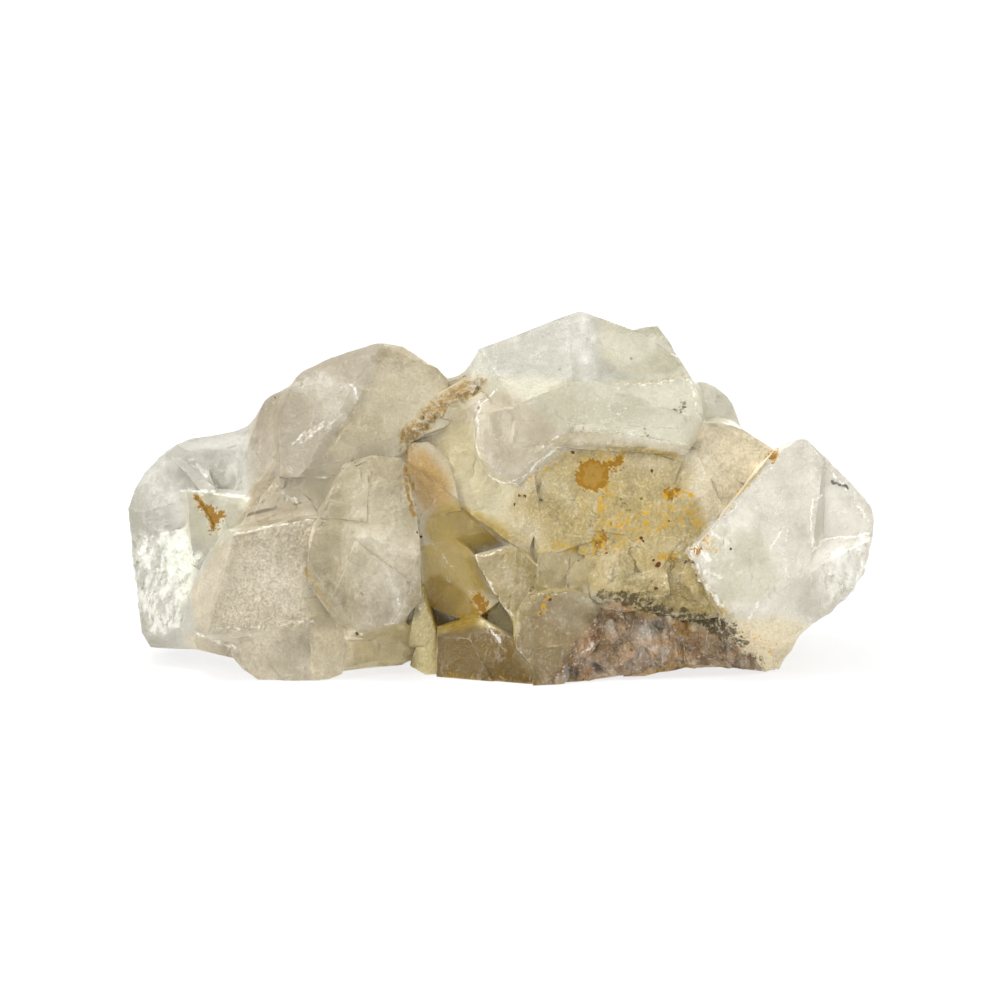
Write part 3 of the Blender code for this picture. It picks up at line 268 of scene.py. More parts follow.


# Stains, cleavage lines and specks, each along a line of places across and up the
# show side, with its reach in mm and its strength; white lines along crystal rims are
# painted edge highlights, and shade is painted shade. The faces are made finest at the
# narrow ones, and haze and shade are broad and soft.
SOFT_MARKS = ("haze", "shade")
NARROW = 1
MARKS = {
    "ochre": [
        ([(16.4, 30), (18, 30.2)], .5, .5), ([(12, 25.6), (14, 25)], .6, .3),
        ([(19.2, 31), (19.6, 31.6)], .5, .9), ([(12.4, 30.8), (15, 31.4), (17.4, 31.2)], .7, .35),
        ([(17, 26.6), (16.6, 25)], .45, .8), ([(16, 23.8), (16.2, 22.4)], .5, .6),
        ([(16.8, 21), (16.2, 18.6), (15.2, 17.4)], .9, .55),
        ([(9, 17), (13, 16), (20, 17)], .9, .4), ([(17.4, 26), (15.6, 19)], 1.4, .36),
        ([(26.4, 25.2), (28.6, 25.4)], .8, .55), ([(20, 20), (24.6, 21.6), (29, 22.4)], 2.6, .42),
        ([(25.4, 15), (27.6, 15.2)], .7, .7), ([(30, 24.6), (31.4, 20.6), (33.6, 16.8)], 1.4, .42),
        ([(32.4, 18.4), (34, 16.6)], .7, .6),
        ([(9.4, 16.8), (15, 16.2)], .6, .5), ([(4.5, 27.8), (8.6, 29.8)], .9, .35),
        ([(-48.4, 24.8), (-46.8, 22.6), (-45.6, 20)], .8, .3),
        ([(43.9, 31.9), (43.3, 30.6)], .7, .9), ([(43, 30), (38, 25.4), (35, 21.4)], .45, .4),
        ([(7.6, 8.8), (6.3, 6.4)], .5, .7), ([(39, 3), (43.6, .6)], 1.3, .35),
        ([(-3.6, 8.6), (-2.6, 6.6)], 1.1, .5),
    ],
    "brown": [
        ([(-48.6, 25), (-47.2, 23.2), (-46.2, 21.6), (-45.7, 19.6)], .3, .9),
        ([(-14.6, 34.4), (-12, 37), (-9, 40), (-5, 42.4), (-3, 42.8)], 1.6, .78),
        ([(-15.2, 29.6), (-14.9, 27), (-14.6, 25), (-13.8, 22)], .4, 1),
        ([(-15, 28.6), (-13.4, 25.6)], .25, .6),
        ([(-15.2, 29.4), (-14.4, 25), (-13.2, 21.4)], 1, .3), ([(-30.8, 13), (-27, 7)], .4, .6),
        ([(-18.2, 47.7), (-20.5, 42.9), (-27.8, 30.7)], .3, .4), ([(-12, 35), (-15.6, 32.4)], 1, .5),
        ([(18.9, 43.1), (22.4, 43.1), (30.1, 44)], .25, .6),
        ([(13.6, 33.2), (20, 32.6), (28, 31.4)], .3, .6),
        ([(24, 6.4), (21, 7)], 1, .7), ([(29.5, 3.6), (28.4, 5)], 1.2, .9),
        ([(9, -5.4), (20, -4.4), (30, -2.6)], 1.2, .6), ([(-9, -4.6), (6, -6)], 1.6, .5),
    ],
    "soot": [
        ([(16.4, 9.2), (19.4, 8.8), (22, 8.2), (26, 7)], 1.2, .9),
        ([(26, 7), (30, 5.7), (33, 5)], 1.2, .9),
        ([(34.2, 4.4), (36.4, 3.6)], 1.8, 1), ([(37, 3), (38.6, 1.4)], 1.1, .7),
        ([(38.6, 1.4), (42, -1.6)], .9, .45),
        ([(28, 38.4), (29.4, 39.4)], .8, .5), ([(23, 35.4), (23.6, 35)], .8, .4),
        ([(19, 23.8), (21.6, 23)], 1, .5),
    ],
    # white: cleavage lines, fractures and veils, and along crystal rims painted edge highlights
    "white": [
        ([(-10.6, 17.6), (-7.6, 13.4), (-4.8, 9.1), (-2.9, 5.9), (.2, 1.8)], .16, .75),
        ([(-11.6, 11.6), (-9.6, 12.5), (-7.7, 11.2), (-5, 9.2)], .16, .5),
        ([(-12.3, 9.4), (-11.6, 6.4), (-10.4, 3.6)], .16, .5),
        ([(-49.3, 31), (-46.1, 26.6)], .21, .9), ([(-51.4, 30.4), (-49, 27.6)], .16, .6),
        ([(-51.2, 25.9), (-46.1, 25.6), (-40, 24.6)], .28, .9), ([(-50, 26.6), (-47.6, 25.2)], .35, .7),
        ([(-31.7, 33.9), (-29.4, 35.6), (-26.6, 36.6)], .6, .6), ([(-33, 33.4), (-31, 35)], .21, .8),
        ([(1, 31), (5.4, 33.6)], .2, .5), ([(5, 31.4), (9.4, 34.6)], .2, .5),
        ([(14.6, 38.8), (17.6, 38.6), (19.6, 37.6)], .16, .5), ([(17, 40.6), (20, 39)], .16, .4),
        ([(-23.7, 42.9), (-22.4, 40)], .21, .9),
        ([(-32.6, 42.9), (-28.2, 43.2), (-23.7, 41.6)], .35, .4),
        ([(-27.6, 31.2), (-24.4, 36)], .16, .7), ([(-35.8, 26.9), (-32, 23.7)], .35, .8),
        ([(-39.7, 21.1), (-37.4, 25.6), (-35.8, 27.5)], .21, .7),
        ([(-34.4, 27), (-33.8, 24.2)], .21, .7),
        ([(-41.9, 18.9), (-36, 20.2), (-29.4, 21.1)], .17, .8),
        ([(-44.8, 3.8), (-37, 4.2), (-29.4, 5.1)], .17, .7),
        ([(-42, 18), (-45.4, 10), (-46, 4)], .16, .4), ([(-48, 3), (-45, 1.6), (-42, 1)], .28, .9),
        ([(-25.3, 30.4), (-25.6, 25.6), (-27.5, 21.8), (-30.7, 14.7), (-29.8, 10.2), (-25.6, 5.1),
          (-23.7, 3.5)], .16, .35),
        ([(-23.7, 3.5), (-20.5, 3.2), (-16.6, 4.8), (-14.4, 9.6), (-13, 12)], .16, .6),
        ([(-18, 13), (-16, 8), (-14.4, 7)], .17, .7), ([(-22, 10), (-24, 7.4)], .17, .7),
        ([(-12, 21.6), (-12.4, 17), (-12.8, 8), (-12.4, 2)], .17, .6),
        ([(-4.5, 45.1), (-2.9, 48), (.6, 43.2), (-2.2, 42.6)], .16, .5),
        ([(-.3, 41.9), (-3.2, 39.4), (-4.2, 34.6), (-3.2, 30.1), (-.6, 27.2), (1.6, 27.2),
          (3.8, 28.2), (7, 31), (10.9, 33.9)], .17, .8),
        ([(-3.2, 40), (-3.4, 34.6), (-2.2, 30.4), (.2, 28.2)], .16, .5),
        ([(11.5, 35.2), (17.3, 35.5), (21.1, 34.6), (26.2, 33.6), (31, 33)], .16, .55),
        ([(9.6, 32), (14.7, 33.9), (19.8, 33), (25, 31.8), (28.8, 31.9)], .16, .5),
        ([(18.9, 42.7), (22.4, 42.8), (30.1, 43.6)], .16, .6),
        ([(30.1, 44.2), (31.6, 38), (32.3, 36.5)], .17, .7),
        ([(-3.8, 15.4), (3.2, 17)], .16, .7), ([(-3.8, 15.4), (-.6, 9), (2.2, 5.4)], .21, .8),
        ([(3.2, 17), (6.4, 13.4), (5.1, 9)], .16, .6), ([(-2, 4.5), (0, 1.6)], .21, .9),
        ([(13, .2), (15, 1.8)], .28, .8), ([(9.5, 16.3), (12.4, 11.6)], .16, .6),
        ([(5.4, 9), (10.5, 9.6), (13.5, 8.6)], .16, .5), ([(10.6, 51), (10.8, 46.4)], .21, .35),
        ([(43.3, 29.3), (38.7, 25), (35.5, 21.1), (33.3, 19.5)], .21, .6),
        ([(30, 16.2), (31.4, 12.6), (34.9, 7.5)], .49, .9), ([(31, 17), (33.6, 14.6)], .35, .8),
        ([(32.4, 13), (35.4, 12)], .28, .7), ([(33, 19.4), (36.4, 17.6)], .28, .6),
        ([(49.6, 24.6), (49.3, 21.9), (49.9, 16), (51, 17.9), (58.9, 18.9)], .2, .95),
        ([(51.4, 25), (49.6, 24.2)], .21, .8), ([(50.1, 32), (55, 26.2), (58.9, 20.6)], .16, .7),
        ([(51.6, 32), (56.4, 26.4)], .16, .6), ([(53.8, 27.6), (57.4, 22)], .16, .5),
        ([(53, 15.6), (56.4, 16.8), (58.6, 15.8)], .28, .8), ([(52.6, 13), (56.8, 12)], .21, .7),
        ([(39, 5), (41.4, 8.4), (43.8, 11.6)], .21, .7),
        ([(42, 14.4), (44, 18.4), (45, 20.4)], .17, .6),
        ([(45.6, 20), (45.4, 13), (46.4, 8)], .16, .5), ([(34, 15), (39.6, 12.2), (42, 10)], .17, .5),
    ],
    "haze": [
        ([(4, 28), (7, 27)], 2, .35), ([(10, 26.6), (11, 24)], 1.4, .3),
        ([(21.6, 30.4), (26, 29.6)], 1.2, .3),
        ([(29, 29), (30.4, 25)], 1.6, .35), ([(3, 20.6), (6, 18.6)], 2, .4),
        ([(34, 34), (32.6, 28)], 1.8, .3),
        ([(21, 12.4), (28, 12)], 1.6, .3), ([(-56.6, 16), (-55.6, 8)], 1.6, .3),
        ([(13.2, 54), (13.2, 46)], 2.6, .8), ([(-56, 28), (-52, 23)], 2.4, .6),
        ([(-54, 30.6), (-47, 33), (-41, 33.4)], 1.8, .4),
        ([(-32.6, 42.9), (-28.2, 43.2), (-23.7, 41.6)], 1.4, .6),
        ([(-29.6, 43), (-26, 38)], 2.4, .4), ([(-23, 18.4), (-18, 18), (-14, 17.6)], 2, .6),
        ([(-17, 12), (-15.6, 6.4)], 1.6, .6), ([(-23, 27), (-22, 22)], 2, .3),
        ([(37, 22), (34.4, 13)], 3, .55), ([(54, 24.6), (56.4, 20)], 2.6, .5),
        ([(53.4, 15), (57, 13.6)], 2.4, .6),
        ([(40, 12), (42, 6)], 2.4, .3), ([(12, 33.9), (22, 34), (29, 32.4)], 1, .5),
        ([(-4, 40), (-3.6, 33), (-.6, 28.6), (4, 29)], 1.4, .4), ([(-2, 14.6), (2.6, 10)], 2.6, .4),
        ([(8, 13.6), (9.4, 12)], 2.2, .4), ([(18, 13.4), (17.6, 11.4)], 2.2, .4),
        ([(-36, 20.6), (-30, 21.6)], 1.2, .4), ([(-38, 14), (-33, 8)], 3, .25),
        ([(20, 3), (24, 2.4)], 1.6, .25), ([(9, 7), (12, 5)], 2, .3),
        ([(-44, 24.8), (-40.4, 25)], 1.2, .6)],
    # shade: painted shade, soft darkening where the faces lie in shadow
    "shade": [
        ([(6, 25), (10, 22)], 3, .4), ([(20, 27), (22, 24)], 2.6, .4), ([(28, 21), (31, 17)], 2.6, .4),
        ([(13, 18), (19, 17.4)], 2, .4), ([(8, 30), (11, 31.4)], 1, .4), ([(32, 12), (34, 9)], 1.6, .4),
        ([(0, 46.4), (7, 50.6)], 4, .35), ([(22, 50), (27, 45)], 4, .3),
        ([(-36.4, 40), (-34, 34)], 3, .35),
        ([(-18.6, 48), (-22, 40.5), (-28, 31.5)], 1.3, .5), ([(-29, 29.4), (-28, 24)], 2.8, .55),
        ([(-17.4, 25.4), (-16, 21)], 2.8, .6), ([(-28, 13), (-25, 9)], 3, .6),
        ([(-21.4, 12), (-19, 8)], 2.8, .5),
        ([(-45, 14), (-46, 6)], 3, .2), ([(47.6, 19.6), (48.6, 9)], 2.8, .3),
        ([(-9, 22), (-3, 20.6)], 2.2, .5),
        ([(-9, 8), (-6, 5)], 3, .4), ([(-20, 1), (-16, 1)], 3, .4),
        ([(10, 32.2), (20, 32), (28, 31)], 1.2, .5),
        ([(38, 27), (35, 22)], 2, .4), ([(20, 11), (27, 9), (32, 8)], 2.4, .5),
        ([(-34, 1.8), (-31.6, 1.6)], 2, .5),
        ([(12, 23), (16, 20)], 4, .3), ([(24, 28), (22, 22)], 4, .25), ([(-1, 24), (4, 20)], 2, .25),
        ([(0, 40), (6, 36)], 3, .15), ([(56, 10), (52, 7)], 2, .3), ([(-3, -3), (4, -3)], 2.6, .4),
        ([(14, 1), (17, 5)], 3, .35), ([(30, 2), (36, -1)], 2, .45),
        ([(15, 5.6), (20, 6), (26, 4), (31, 2)], 1.6, .8), ([(19, -1), (22, -2.4)], 1.6, .7),
        ([(26.4, 3.4), (28.4, 1.6)], 1.4, .8), ([(12, -3), (15, -4.6)], 1.6, .6),
        ([(-12, 8), (-4, 4)], 2.4, .3), ([(-6, 21), (1, 19)], 1.8, .5),
        ([(45, 12), (48, 19)], 2.4, .25), ([(39, 14), (42, 21)], 2.4, .2)],
    "red": [
        ([(x, y), (x, y)], size, 1) for x, y, size in (
            (4, 25, .3), (3.3, 25.2, .22), (11.5, 31.9, .28), (24.2, 28.8, .3), (22.3, 18.4, .36),
            (22.8, 17.9, .22), (17, 15.7, .3), (25.2, 13.9, .44), (24.4, 14.7, .24), (8, 8.5, .2),
            (6.3, 6.3, .2), (25, 10.3, .24), (36.6, 16.6, .2), (-22.9, 3.2, .3), (-13.2, 19.3, .24),
            (-12.6, 18.4, .2), (2.3, 23.8, .2), (29.4, 14.4, .2), (16.3, 19.4, .2), (26.6, 21, .2))],
    "black": [
        ([(x, y), (x, y)], size, .6) for x, y, size in (
            (20.7, 32.1, .26), (22.5, 24.5, .3), (17.7, 20.6, .3), (15, 18.7, .24), (12.5, 14.5, .24),
            (3, 3, .24), (9.6, 45.2, .26), (-3.6, 38.8, .24), (13.4, 35.6, .24), (-35.9, 40.6, .24),
            (-25.2, 29.4, .24), (-5.3, 45.6, .2), (21, 46.8, .26), (29.4, 39.6, .4), (27.8, 38.7, .35))]
    + [([(53, 27.1), (54.9, 26.5)], .28, 1), ([(54.4, 26.7), (55.2, 26.2)], .2, 1)],
}
FAR = 1e9                       # mm, further than any place on the piece


def away_from(corners, places):
    """Distance in mm from each place on the show side to a line."""
    nearest = np.full(len(places), FAR)
    for a, b in zip(np.array(corners[:-1], float), np.array(corners[1:], float)):
        along = np.clip((places - a) @ (b - a) / max((b - a) @ (b - a), 1e-9), 0, 1)
        nearest = np.minimum(
            nearest, np.linalg.norm(places - a - along[:, None] * (b - a), axis=1))
    return nearest


CELL = 0.25                     # mm between the places tried for marks
HACKLY = .3                     # zones with more steps than this are hackly
columns, levels = np.arange(-62, 62, CELL), np.arange(-8, 58, CELL)
grid_places = np.stack(np.meshgrid(columns, levels, indexing="ij"), -1).reshape(-1, 2)
gap = np.full(len(grid_places), FAR)
for kind, lines in MARKS.items():
    for corners, reach, most in lines:
        if reach < NARROW and kind not in SOFT_MARKS:
            gap = np.minimum(gap, away_from(corners, grid_places) - reach)
gap = gap.reshape(len(columns), len(levels))
hackly_cells = np.zeros(len(grid_places), bool)
for corners, tint, clearness, frost, steps in ZONES.values():
    hackly_cells[inside(corners, *grid_places.T)] = steps > HACKLY
hackly_cells = hackly_cells.reshape(gap.shape)
shown_facet = coarse == FINE_EDGE

# edges are halved round after round, and a triangle follows its neighbours' cuts
while True:
    ends = np.sort(triangles[:, [[0, 1], [1, 2], [2, 0]]], axis=2)
    lengths = np.linalg.norm(points[ends[..., 0]] - points[ends[..., 1]], axis=2)
    limit = coarse[facet_of]
    from_corner = show_points(points[triangles].mean(1)) - (columns[0], 0, levels[0])
    column, _, level = (from_corner / CELL).round().astype(int).T
    cell = np.clip(column, 0, len(columns) - 1), np.clip(level, 0, len(levels) - 1)
    on_show = shown_facet[facet_of]
    limit[on_show & (gap[cell] < lengths.max(1) / MM / 2)] = MARKED_EDGE
    limit[on_show & hackly_cells[cell] & (limit > ROUGH_EDGE)] = ROUGH_EDGE
    rows, longest = np.arange(len(triangles)), lengths.argmax(1)
    too_long = lengths[rows, longest] > limit
    if not too_long.any():
        break
    keys = ends[..., 0] * len(points) + ends[..., 1]
    cut = np.unique(keys[rows, longest][too_long])
    place = np.minimum(np.searchsorted(cut, keys), len(cut) - 1)
    hit = cut[place] == keys
    middle = len(points) + place
    points = np.r_[points, (points[cut // len(points)] + points[cut % len(points)]) / 2]
    count = hit.sum(1)
    # each triangle is turned so that its cut edges come first
    turn = np.where(count == 1, hit.argmax(1), np.where(count == 2, hit.argmin(1) + 1, 0))
    order = (turn[:, None] + np.arange(3)) % 3
    corners = np.take_along_axis(triangles, order, 1)
    middle = np.take_along_axis(middle, order, 1)
    a, b, c = corners.T
    p, q, r = middle.T
    one, two, three = count == 1, count == 2, count == 3
    short = two & (np.linalg.norm(points[a] - points[q], axis=1)
                   < np.linalg.norm(points[p] - points[c], axis=1))
    other = two & ~short
    parts = [(count == 0, a, b, c), (one, a, p, c), (one, p, b, c), (two, p, b, q),
             (short, a, p, q), (short, a, q, c), (other, a, p, c), (other, p, q, c),
             (three, a, p, r), (three, p, b, q), (three, r, q, c), (three, p, q, r)]
    triangles = np.concatenate([np.c_[x, y, z][m] for m, x, y, z in parts])
    facet_of = np.concatenate([facet_of[m] for m, *_ in parts])


def face_normals():
    """Each triangle's normal, and its area in square metres."""
    a, b, c = (points[triangles[:, k]] for k in range(3))
    cross = np.cross(b - a, c - a)
    size = np.linalg.norm(cross, axis=1)
    return cross / np.maximum(size, 1e-15)[:, None], size / 2


def point_normals():
    """The surface's outward direction at each point."""
    out, area = face_normals()
    summed = np.zeros_like(points)
    for k in range(3):
        np.add.at(summed, triangles[:, k], out * area[:, None])
    return summed / np.maximum(np.linalg.norm(summed, axis=1), 1e-15)[:, None]


# the grooves where crystals meet are filled a little, as they grew into each other
FILLING_ROUNDS = 22
FILLING_LIFT = .25 * MM         # most in one round
BASE_RIM = .3 * MM              # the edge of the base stays as it is
sides = np.unique(np.sort(triangles[:, [[0, 1], [1, 2], [2, 0]]].reshape(-1, 2), axis=1), axis=0)
neighbours = np.bincount(sides.ravel(), minlength=len(points))
above = points[:, 2] > BASE_RIM
filled = np.zeros(len(points))
for filling in range(FILLING_ROUNDS):
    outward = point_normals()
    around = np.zeros_like(points)
    for axis in range(3):
        around[:, axis] = (
            np.bincount(sides[:, 0], points[sides[:, 1], axis], len(points))
            + np.bincount(sides[:, 1], points[sides[:, 0], axis], len(points)))
    lift = ((around / neighbours[:, None] - points) * outward).sum(1)
    lift = np.clip(lift, 0, FILLING_LIFT) * above
    filled += lift / MM
    points = points + outward * lift[:, None]

mesh.clear_geometry()
mesh.from_pydata(points, [], triangles)
mesh.update()

# each triangle takes its zone's tint and finish, and zones with the most steps have
# ragged borders, which stray by up to a reach in mm
SHOW_DEPTH = 14                 # mm back to where turned faces still show
RAGGED_ABOVE, RAGGED_SCALE, RAGGED_REACH = .4, .6, 1.6
centres = points[triangles].mean(1)
across, depth, up = show_points(centres).T
facing = face_normals()[0] @ np.array(view_out)
shown = (facing > .05) | ((facing > -.5) & (depth < SHOW_DEPTH))
looks = np.zeros((len(triangles), 6))       # red, green, blue, clearness, frost, steps
low = -99
for edge, tint in BACK:
    looks[(across > low) & (across <= edge)] = [*linear(tint), *BACK_FINISH]
    low = edge
ragged = np.array([noise.noise(Vector(p) * (RAGGED_SCALE / MM)) for p in centres]) * RAGGED_REACH
for corners, tint, clearness, frost, steps in ZONES.values():
    stray = ragged if steps > RAGGED_ABOVE else 0
    looks[inside(corners, across + stray, up + stray) & shown] = (
        [*linear(tint), clearness, frost, steps])
random = np.random.default_rng(7)


def cells(size, where_to):
    """The number of the random seed nearest to each place: its grain or plate."""
    low, high = where_to.min(0), where_to.max(0)
    seeds = random.uniform(low, high, (int(np.prod((high - low) / (size * MM))), 3))
    finder = KDTree(len(seeds))
    for i, seed in enumerate(seeds):
        finder.insert(seed, i)
    finder.balance()
    return np.array([finder.find(place)[1] for place in where_to]), seeds


# grains of their own tone in the stepped zones, strongest in the purple seam, and a
# slight change of tone and clearness from one crystal face to the next
GRAIN_SIZE = 1.9
GRAIN_CONTRAST, PURPLE_CONTRAST, PURPLE_HUES = .1, .3, .16 * np.array([.5, -.1, -.9])
FACE_CHANGE = .025
rough = looks[:, 5] > .05
grain_of, grain_seeds = cells(GRAIN_SIZE, centres[rough])
grain_tone = random.normal(0, 1, len(grain_seeds))[grain_of]
grain_hue = random.normal(0, 1, len(grain_seeds))[grain_of]
purple = inside(ZONES["purple_seam"][0], across, up)[rough] * 1.
contrast = looks[rough, 5] * GRAIN_CONTRAST + purple * PURPLE_CONTRAST
looks[rough, :3] *= 1 + contrast[:, None] * grain_tone[:, None]
looks[rough, :3] *= 1 + (purple * grain_hue)[:, None] * PURPLE_HUES
looks[:, :3] = looks[:, :3].clip(.01, .95)
tone = random.normal(0, 1, facets + 1)[facet_of]
clear_change = random.normal(0, 1, facets + 1)[facet_of]
looks[:, :3] *= np.clip(1 + FACE_CHANGE * tone, .92, 1.08)[:, None]
looks[:, 3] = np.clip(looks[:, 3] + FACE_CHANGE * clear_change, 0, 1)

# softened over neighbouring triangles of the same crystal face
SOFTENINGS = 3
pair = triangles * (facets + 1) + facet_of[:, None]
pairs, slot_of = np.unique(pair, return_inverse=True)
slot_of = slot_of.reshape(pair.shape)
for softening in range(SOFTENINGS):
    weight = np.zeros(len(pairs))
    total = np.zeros((len(pairs), 6))
    for k in range(3):
        np.add.at(weight, slot_of[:, k], 1)
        np.add.at(total, slot_of[:, k], looks)
    corner_looks = (total / weight[:, None])[slot_of]
    looks = corner_looks.mean(1)

# nearness to the sharp edges, where they are chipped here and there and whitened, partly as wear and
# partly as a painted edge highlight
WEAR_AND_HIGHLIGHT_REACH = .8                 # mm from the edge
sharp_finder = KDTree(len(sharp_points))
for i, point in enumerate(sharp_points):
    sharp_finder.insert(point, i)
sharp_finder.balance()
edge_near = np.array([sharp_finder.find(p)[2] for p in points]) / MM
near_sharp_edge = np.clip(1 - edge_near / WEAR_AND_HIGHLIGHT_REACH, 0, 1)

vertex_normals = point_normals()
vertex_frost, vertex_steps, vertex_count = np.zeros((3, len(points)))
for k in range(3):
    np.add.at(vertex_frost, triangles[:, k], looks[:, 4])
    np.add.at(vertex_steps, triangles[:, k], looks[:, 5])
    np.add.at(vertex_count, triangles[:, k], 1)
vertex_frost /= vertex_count
vertex_steps /= vertex_count


def noise_at(scale, seed):
    """Smooth noise from -1 to 1 at each point, with features 1/scale mm across."""
    shift = Vector((seed * 7.3, seed * 3.1, seed * 5.7))
    return np.array([noise.noise(Vector(p) * (scale / MM) + shift) for p in points])


def plates(size, tilt):
    """Flat plates, each tilted its own way by some degrees, as millimetres of relief."""
    nearest, seeds = cells(size, bent)
    tilts = random.normal(0, math.tan(math.radians(tilt)), seeds.shape)
    return ((points - seeds[nearest]) * tilts[nearest]).sum(1) / MM


# Relief of the surfaces: broad waves in every face, grain on frosted faces, parted
# cleavage steps on pearly ones, and small chips along the outer edges. All in mm.
BROAD_WAVES, RIPPLES, FROST_GRAIN = .12, .06, .07
TERRACE_WIDTH, TERRACE_HEIGHT = 1.9, .22
CHIP_DEPTH = .35
DEEPEST, HIGHEST = -.7, .45
broad, medium, fine = noise_at(.12, 1), noise_at(.45, 2), noise_at(1.1, 3)
bent = points + .9 * MM * np.c_[medium, fine, -medium]
across_v, depth_v, up_v = show_points(points).T
slanted = (across_v * .55 + up_v * .8 + depth_v * .25) / TERRACE_WIDTH + broad * 1.2
terraces = (slanted % 1) - .5
hackly = np.clip(vertex_steps, 0, 1)
large_plates = plates(size=5, tilt=2.5)
small_plates = plates(size=2.2, tilt=12)
chipped = near_sharp_edge * np.clip(medium + .6 * fine + .12, 0, 1)
move = (BROAD_WAVES * broad + RIPPLES * medium + FROST_GRAIN * fine * (.2 + vertex_frost)
        + large_plates * hackly + small_plates * hackly * (1.25 - hackly)
        + TERRACE_HEIGHT * terraces * vertex_steps - CHIP_DEPTH * chipped)
flat_base = points[:, 2] < .05 * MM
move[flat_base] = 0
points = points + vertex_normals * np.clip(move, DEEPEST, HIGHEST)[:, None] * MM
points[:, 2] = np.maximum(points[:, 2], 0)
points = np.clip(points, np.array(cad_low), np.array(cad_high))
mesh.vertices.foreach_set("co", points.astype(np.float32).ravel())
mesh.update()

# the marks as strengths at each point, fading over their reach and round the sides
MARK_SPREAD = 1.3
show_side = np.clip(vertex_normals @ np.array(view_out) * 4 + .6, 0, 1)
flat_places = np.c_[across_v + .35 * medium + .3 * fine, up_v + .35 * fine - .3 * medium]
strength = {}
for kind, lines in MARKS.items():
    strength[kind] = np.zeros(len(points))
    crisp = 1 if kind in SOFT_MARKS else 2
    for corners, reach, most in lines:
        away = away_from(corners, flat_places) / (reach * MARK_SPREAD)
        strength[kind] = np.maximum(strength[kind], most * np.clip((1 - away) * crisp, 0, 1))
    strength[kind] *= show_side
for layer_name, kinds in (("stains_and_painted_shade", ("ochre", "brown", "soot", "shade")),
                          ("lines", ("white", "red", "black", "haze"))):
    layer = mesh.color_attributes.new(layer_name, "FLOAT_COLOR", "POINT")
    layer.data.foreach_set("color", np.stack(
        [strength[kind] for kind in kinds], 1).astype(np.float32).ravel())
tint_layer = mesh.color_attributes.new("tint", "FLOAT_COLOR", "CORNER")
body_layer = mesh.color_attributes.new("body", "FLOAT_COLOR", "CORNER")
corner_looks = corner_looks.reshape(-1, 6)
# painted light: filled grooves get a lighter tint against the shade that falls in them
GROOVE_PAINTED_LIGHT, GROOVE_FULL = .2, .5      # filled grooves are lighter, fully so from .5 mm
groove = np.clip(filled[triangles].reshape(-1, 1) / GROOVE_FULL, 0, 1)
corner_looks[:, :3] *= 1 + GROOVE_PAINTED_LIGHT * groove
ones = np.ones((len(corner_looks), 1))
tint_layer.data.foreach_set(
    "color", np.hstack([corner_looks[:, :3], ones]).astype(np.float32).ravel())
edge_wear_and_highlight = near_sharp_edge[triangles].reshape(-1, 1)
body = np.hstack([corner_looks[:, 3:5], edge_wear_and_highlight, corner_looks[:, 5:]])
body_layer.data.foreach_set("color", body.astype(np.float32).ravel())

# Rust spots, across, up and radius in mm. Those that touch run together into patches
# with a crisp edge, so what is kept is each point's distance in mm from the nearest.
SPOT_MERGE = 2.5                # less lets them run together from further apart
SPOT_FAR = 3
RUST_SPOTS = [
    (14.8, 28.2, 2.5), (17.4, 29.9, .5), (18.8, 30.4, .8), (26.8, 25.4, .6), (28.2, 25.6, .4),
    (-48.4, 24.7, .3), (-47.7, 23.8, .4), (-46.9, 22.9, .5), (-45.8, 21.9, .8), (-44.5, 22.2, .5),
    (-45.6, 20.8, .6), (-45.8, 19.7, .35), (-3.6, 8.6, .7), (-2.7, 7.2, .6), (-2.4, 6, .3),
    (16.5, 18.2, .5), (15.8, 17.3, .6), (31.4, 16.2, .5), (43.6, 31.4, .5)]
away = np.stack([np.hypot(across_v - x, up_v - y) - radius for x, y, radius in RUST_SPOTS])
merged = np.exp(-np.clip(away, -SPOT_FAR, 2 * SPOT_FAR) * SPOT_MERGE).sum(0)
spot_away = np.clip(-np.log(merged) / SPOT_MERGE, -SPOT_FAR, SPOT_FAR)
spot_away = np.where(show_side > .3, spot_away, SPOT_FAR)
spot_layer = mesh.attributes.new("spot_away", "FLOAT", "POINT")
spot_layer.data.foreach_set("value", spot_away.astype(np.float32))

bpy.ops.object.select_all(action="DESELECT")
bpy.context.view_layer.objects.active = cluster
cluster.select_set(True)
bpy.ops.object.shade_smooth_by_angle(angle=SMOOTH_ANGLE)


# The finish of the growth: clear fluorite with cloudy, grainy and stained faces. Each
# point is a blend of a clear surface, which lets light into the stone, and a cloudy one.
class Socket:
    """A value or colour in a material, on which sums can be written."""

    def __init__(self, tree, output):
        self.tree, self.output = tree, output

    def math(self, operation, *values):
        return node(self.tree, "ShaderNodeMath", {"operation": operation},
                    {i: v for i, v in enumerate((self, *values))})

    def __add__(self, other):
        return self.math("ADD", other)

    def __sub__(self, other):
        return self.math("SUBTRACT", other)

    def __mul__(self, other):
        return self.math("MULTIPLY", other)

    __radd__, __rmul__ = __add__, __mul__

    def __rsub__(self, other):
        return self * -1 + other

    def max(self, other):
        return self.math("MAXIMUM", other)

    def min(self, other):
        return self.math("MINIMUM", other)

    def step(self, low, high, to_low=0, to_high=1):
        """Goes smoothly from one level to another as the value passes low and high."""
        return node(self.tree, "ShaderNodeMapRange", {"interpolation_type": "SMOOTHSTEP"},
                    {"Value": self, "From Min": low, "From Max": high,
                     "To Min": to_low, "To Max": to_high})


def node(tree, kind, settings, values, output=0):
    """Adds any node, sets it up, joins its inputs and gives one of its outputs."""
    made = tree.nodes.new(kind)
    for key, value in settings.items():
        setattr(made, key, value)
    for key, value in values.items():
        if isinstance(value, Socket):
            tree.links.new(value.output, made.inputs[key])
        else:
            made.inputs[key].default_value = value
    return Socket(tree, made.outputs[output])


def blend_colours(tree, share, first, second, how="MIX"):
    """Mixes two colours by a share."""
    return node(tree, "ShaderNodeMix", {"data_type": "RGBA", "blend_type": how},
                {0: share, 6: first, 7: second}, 2)


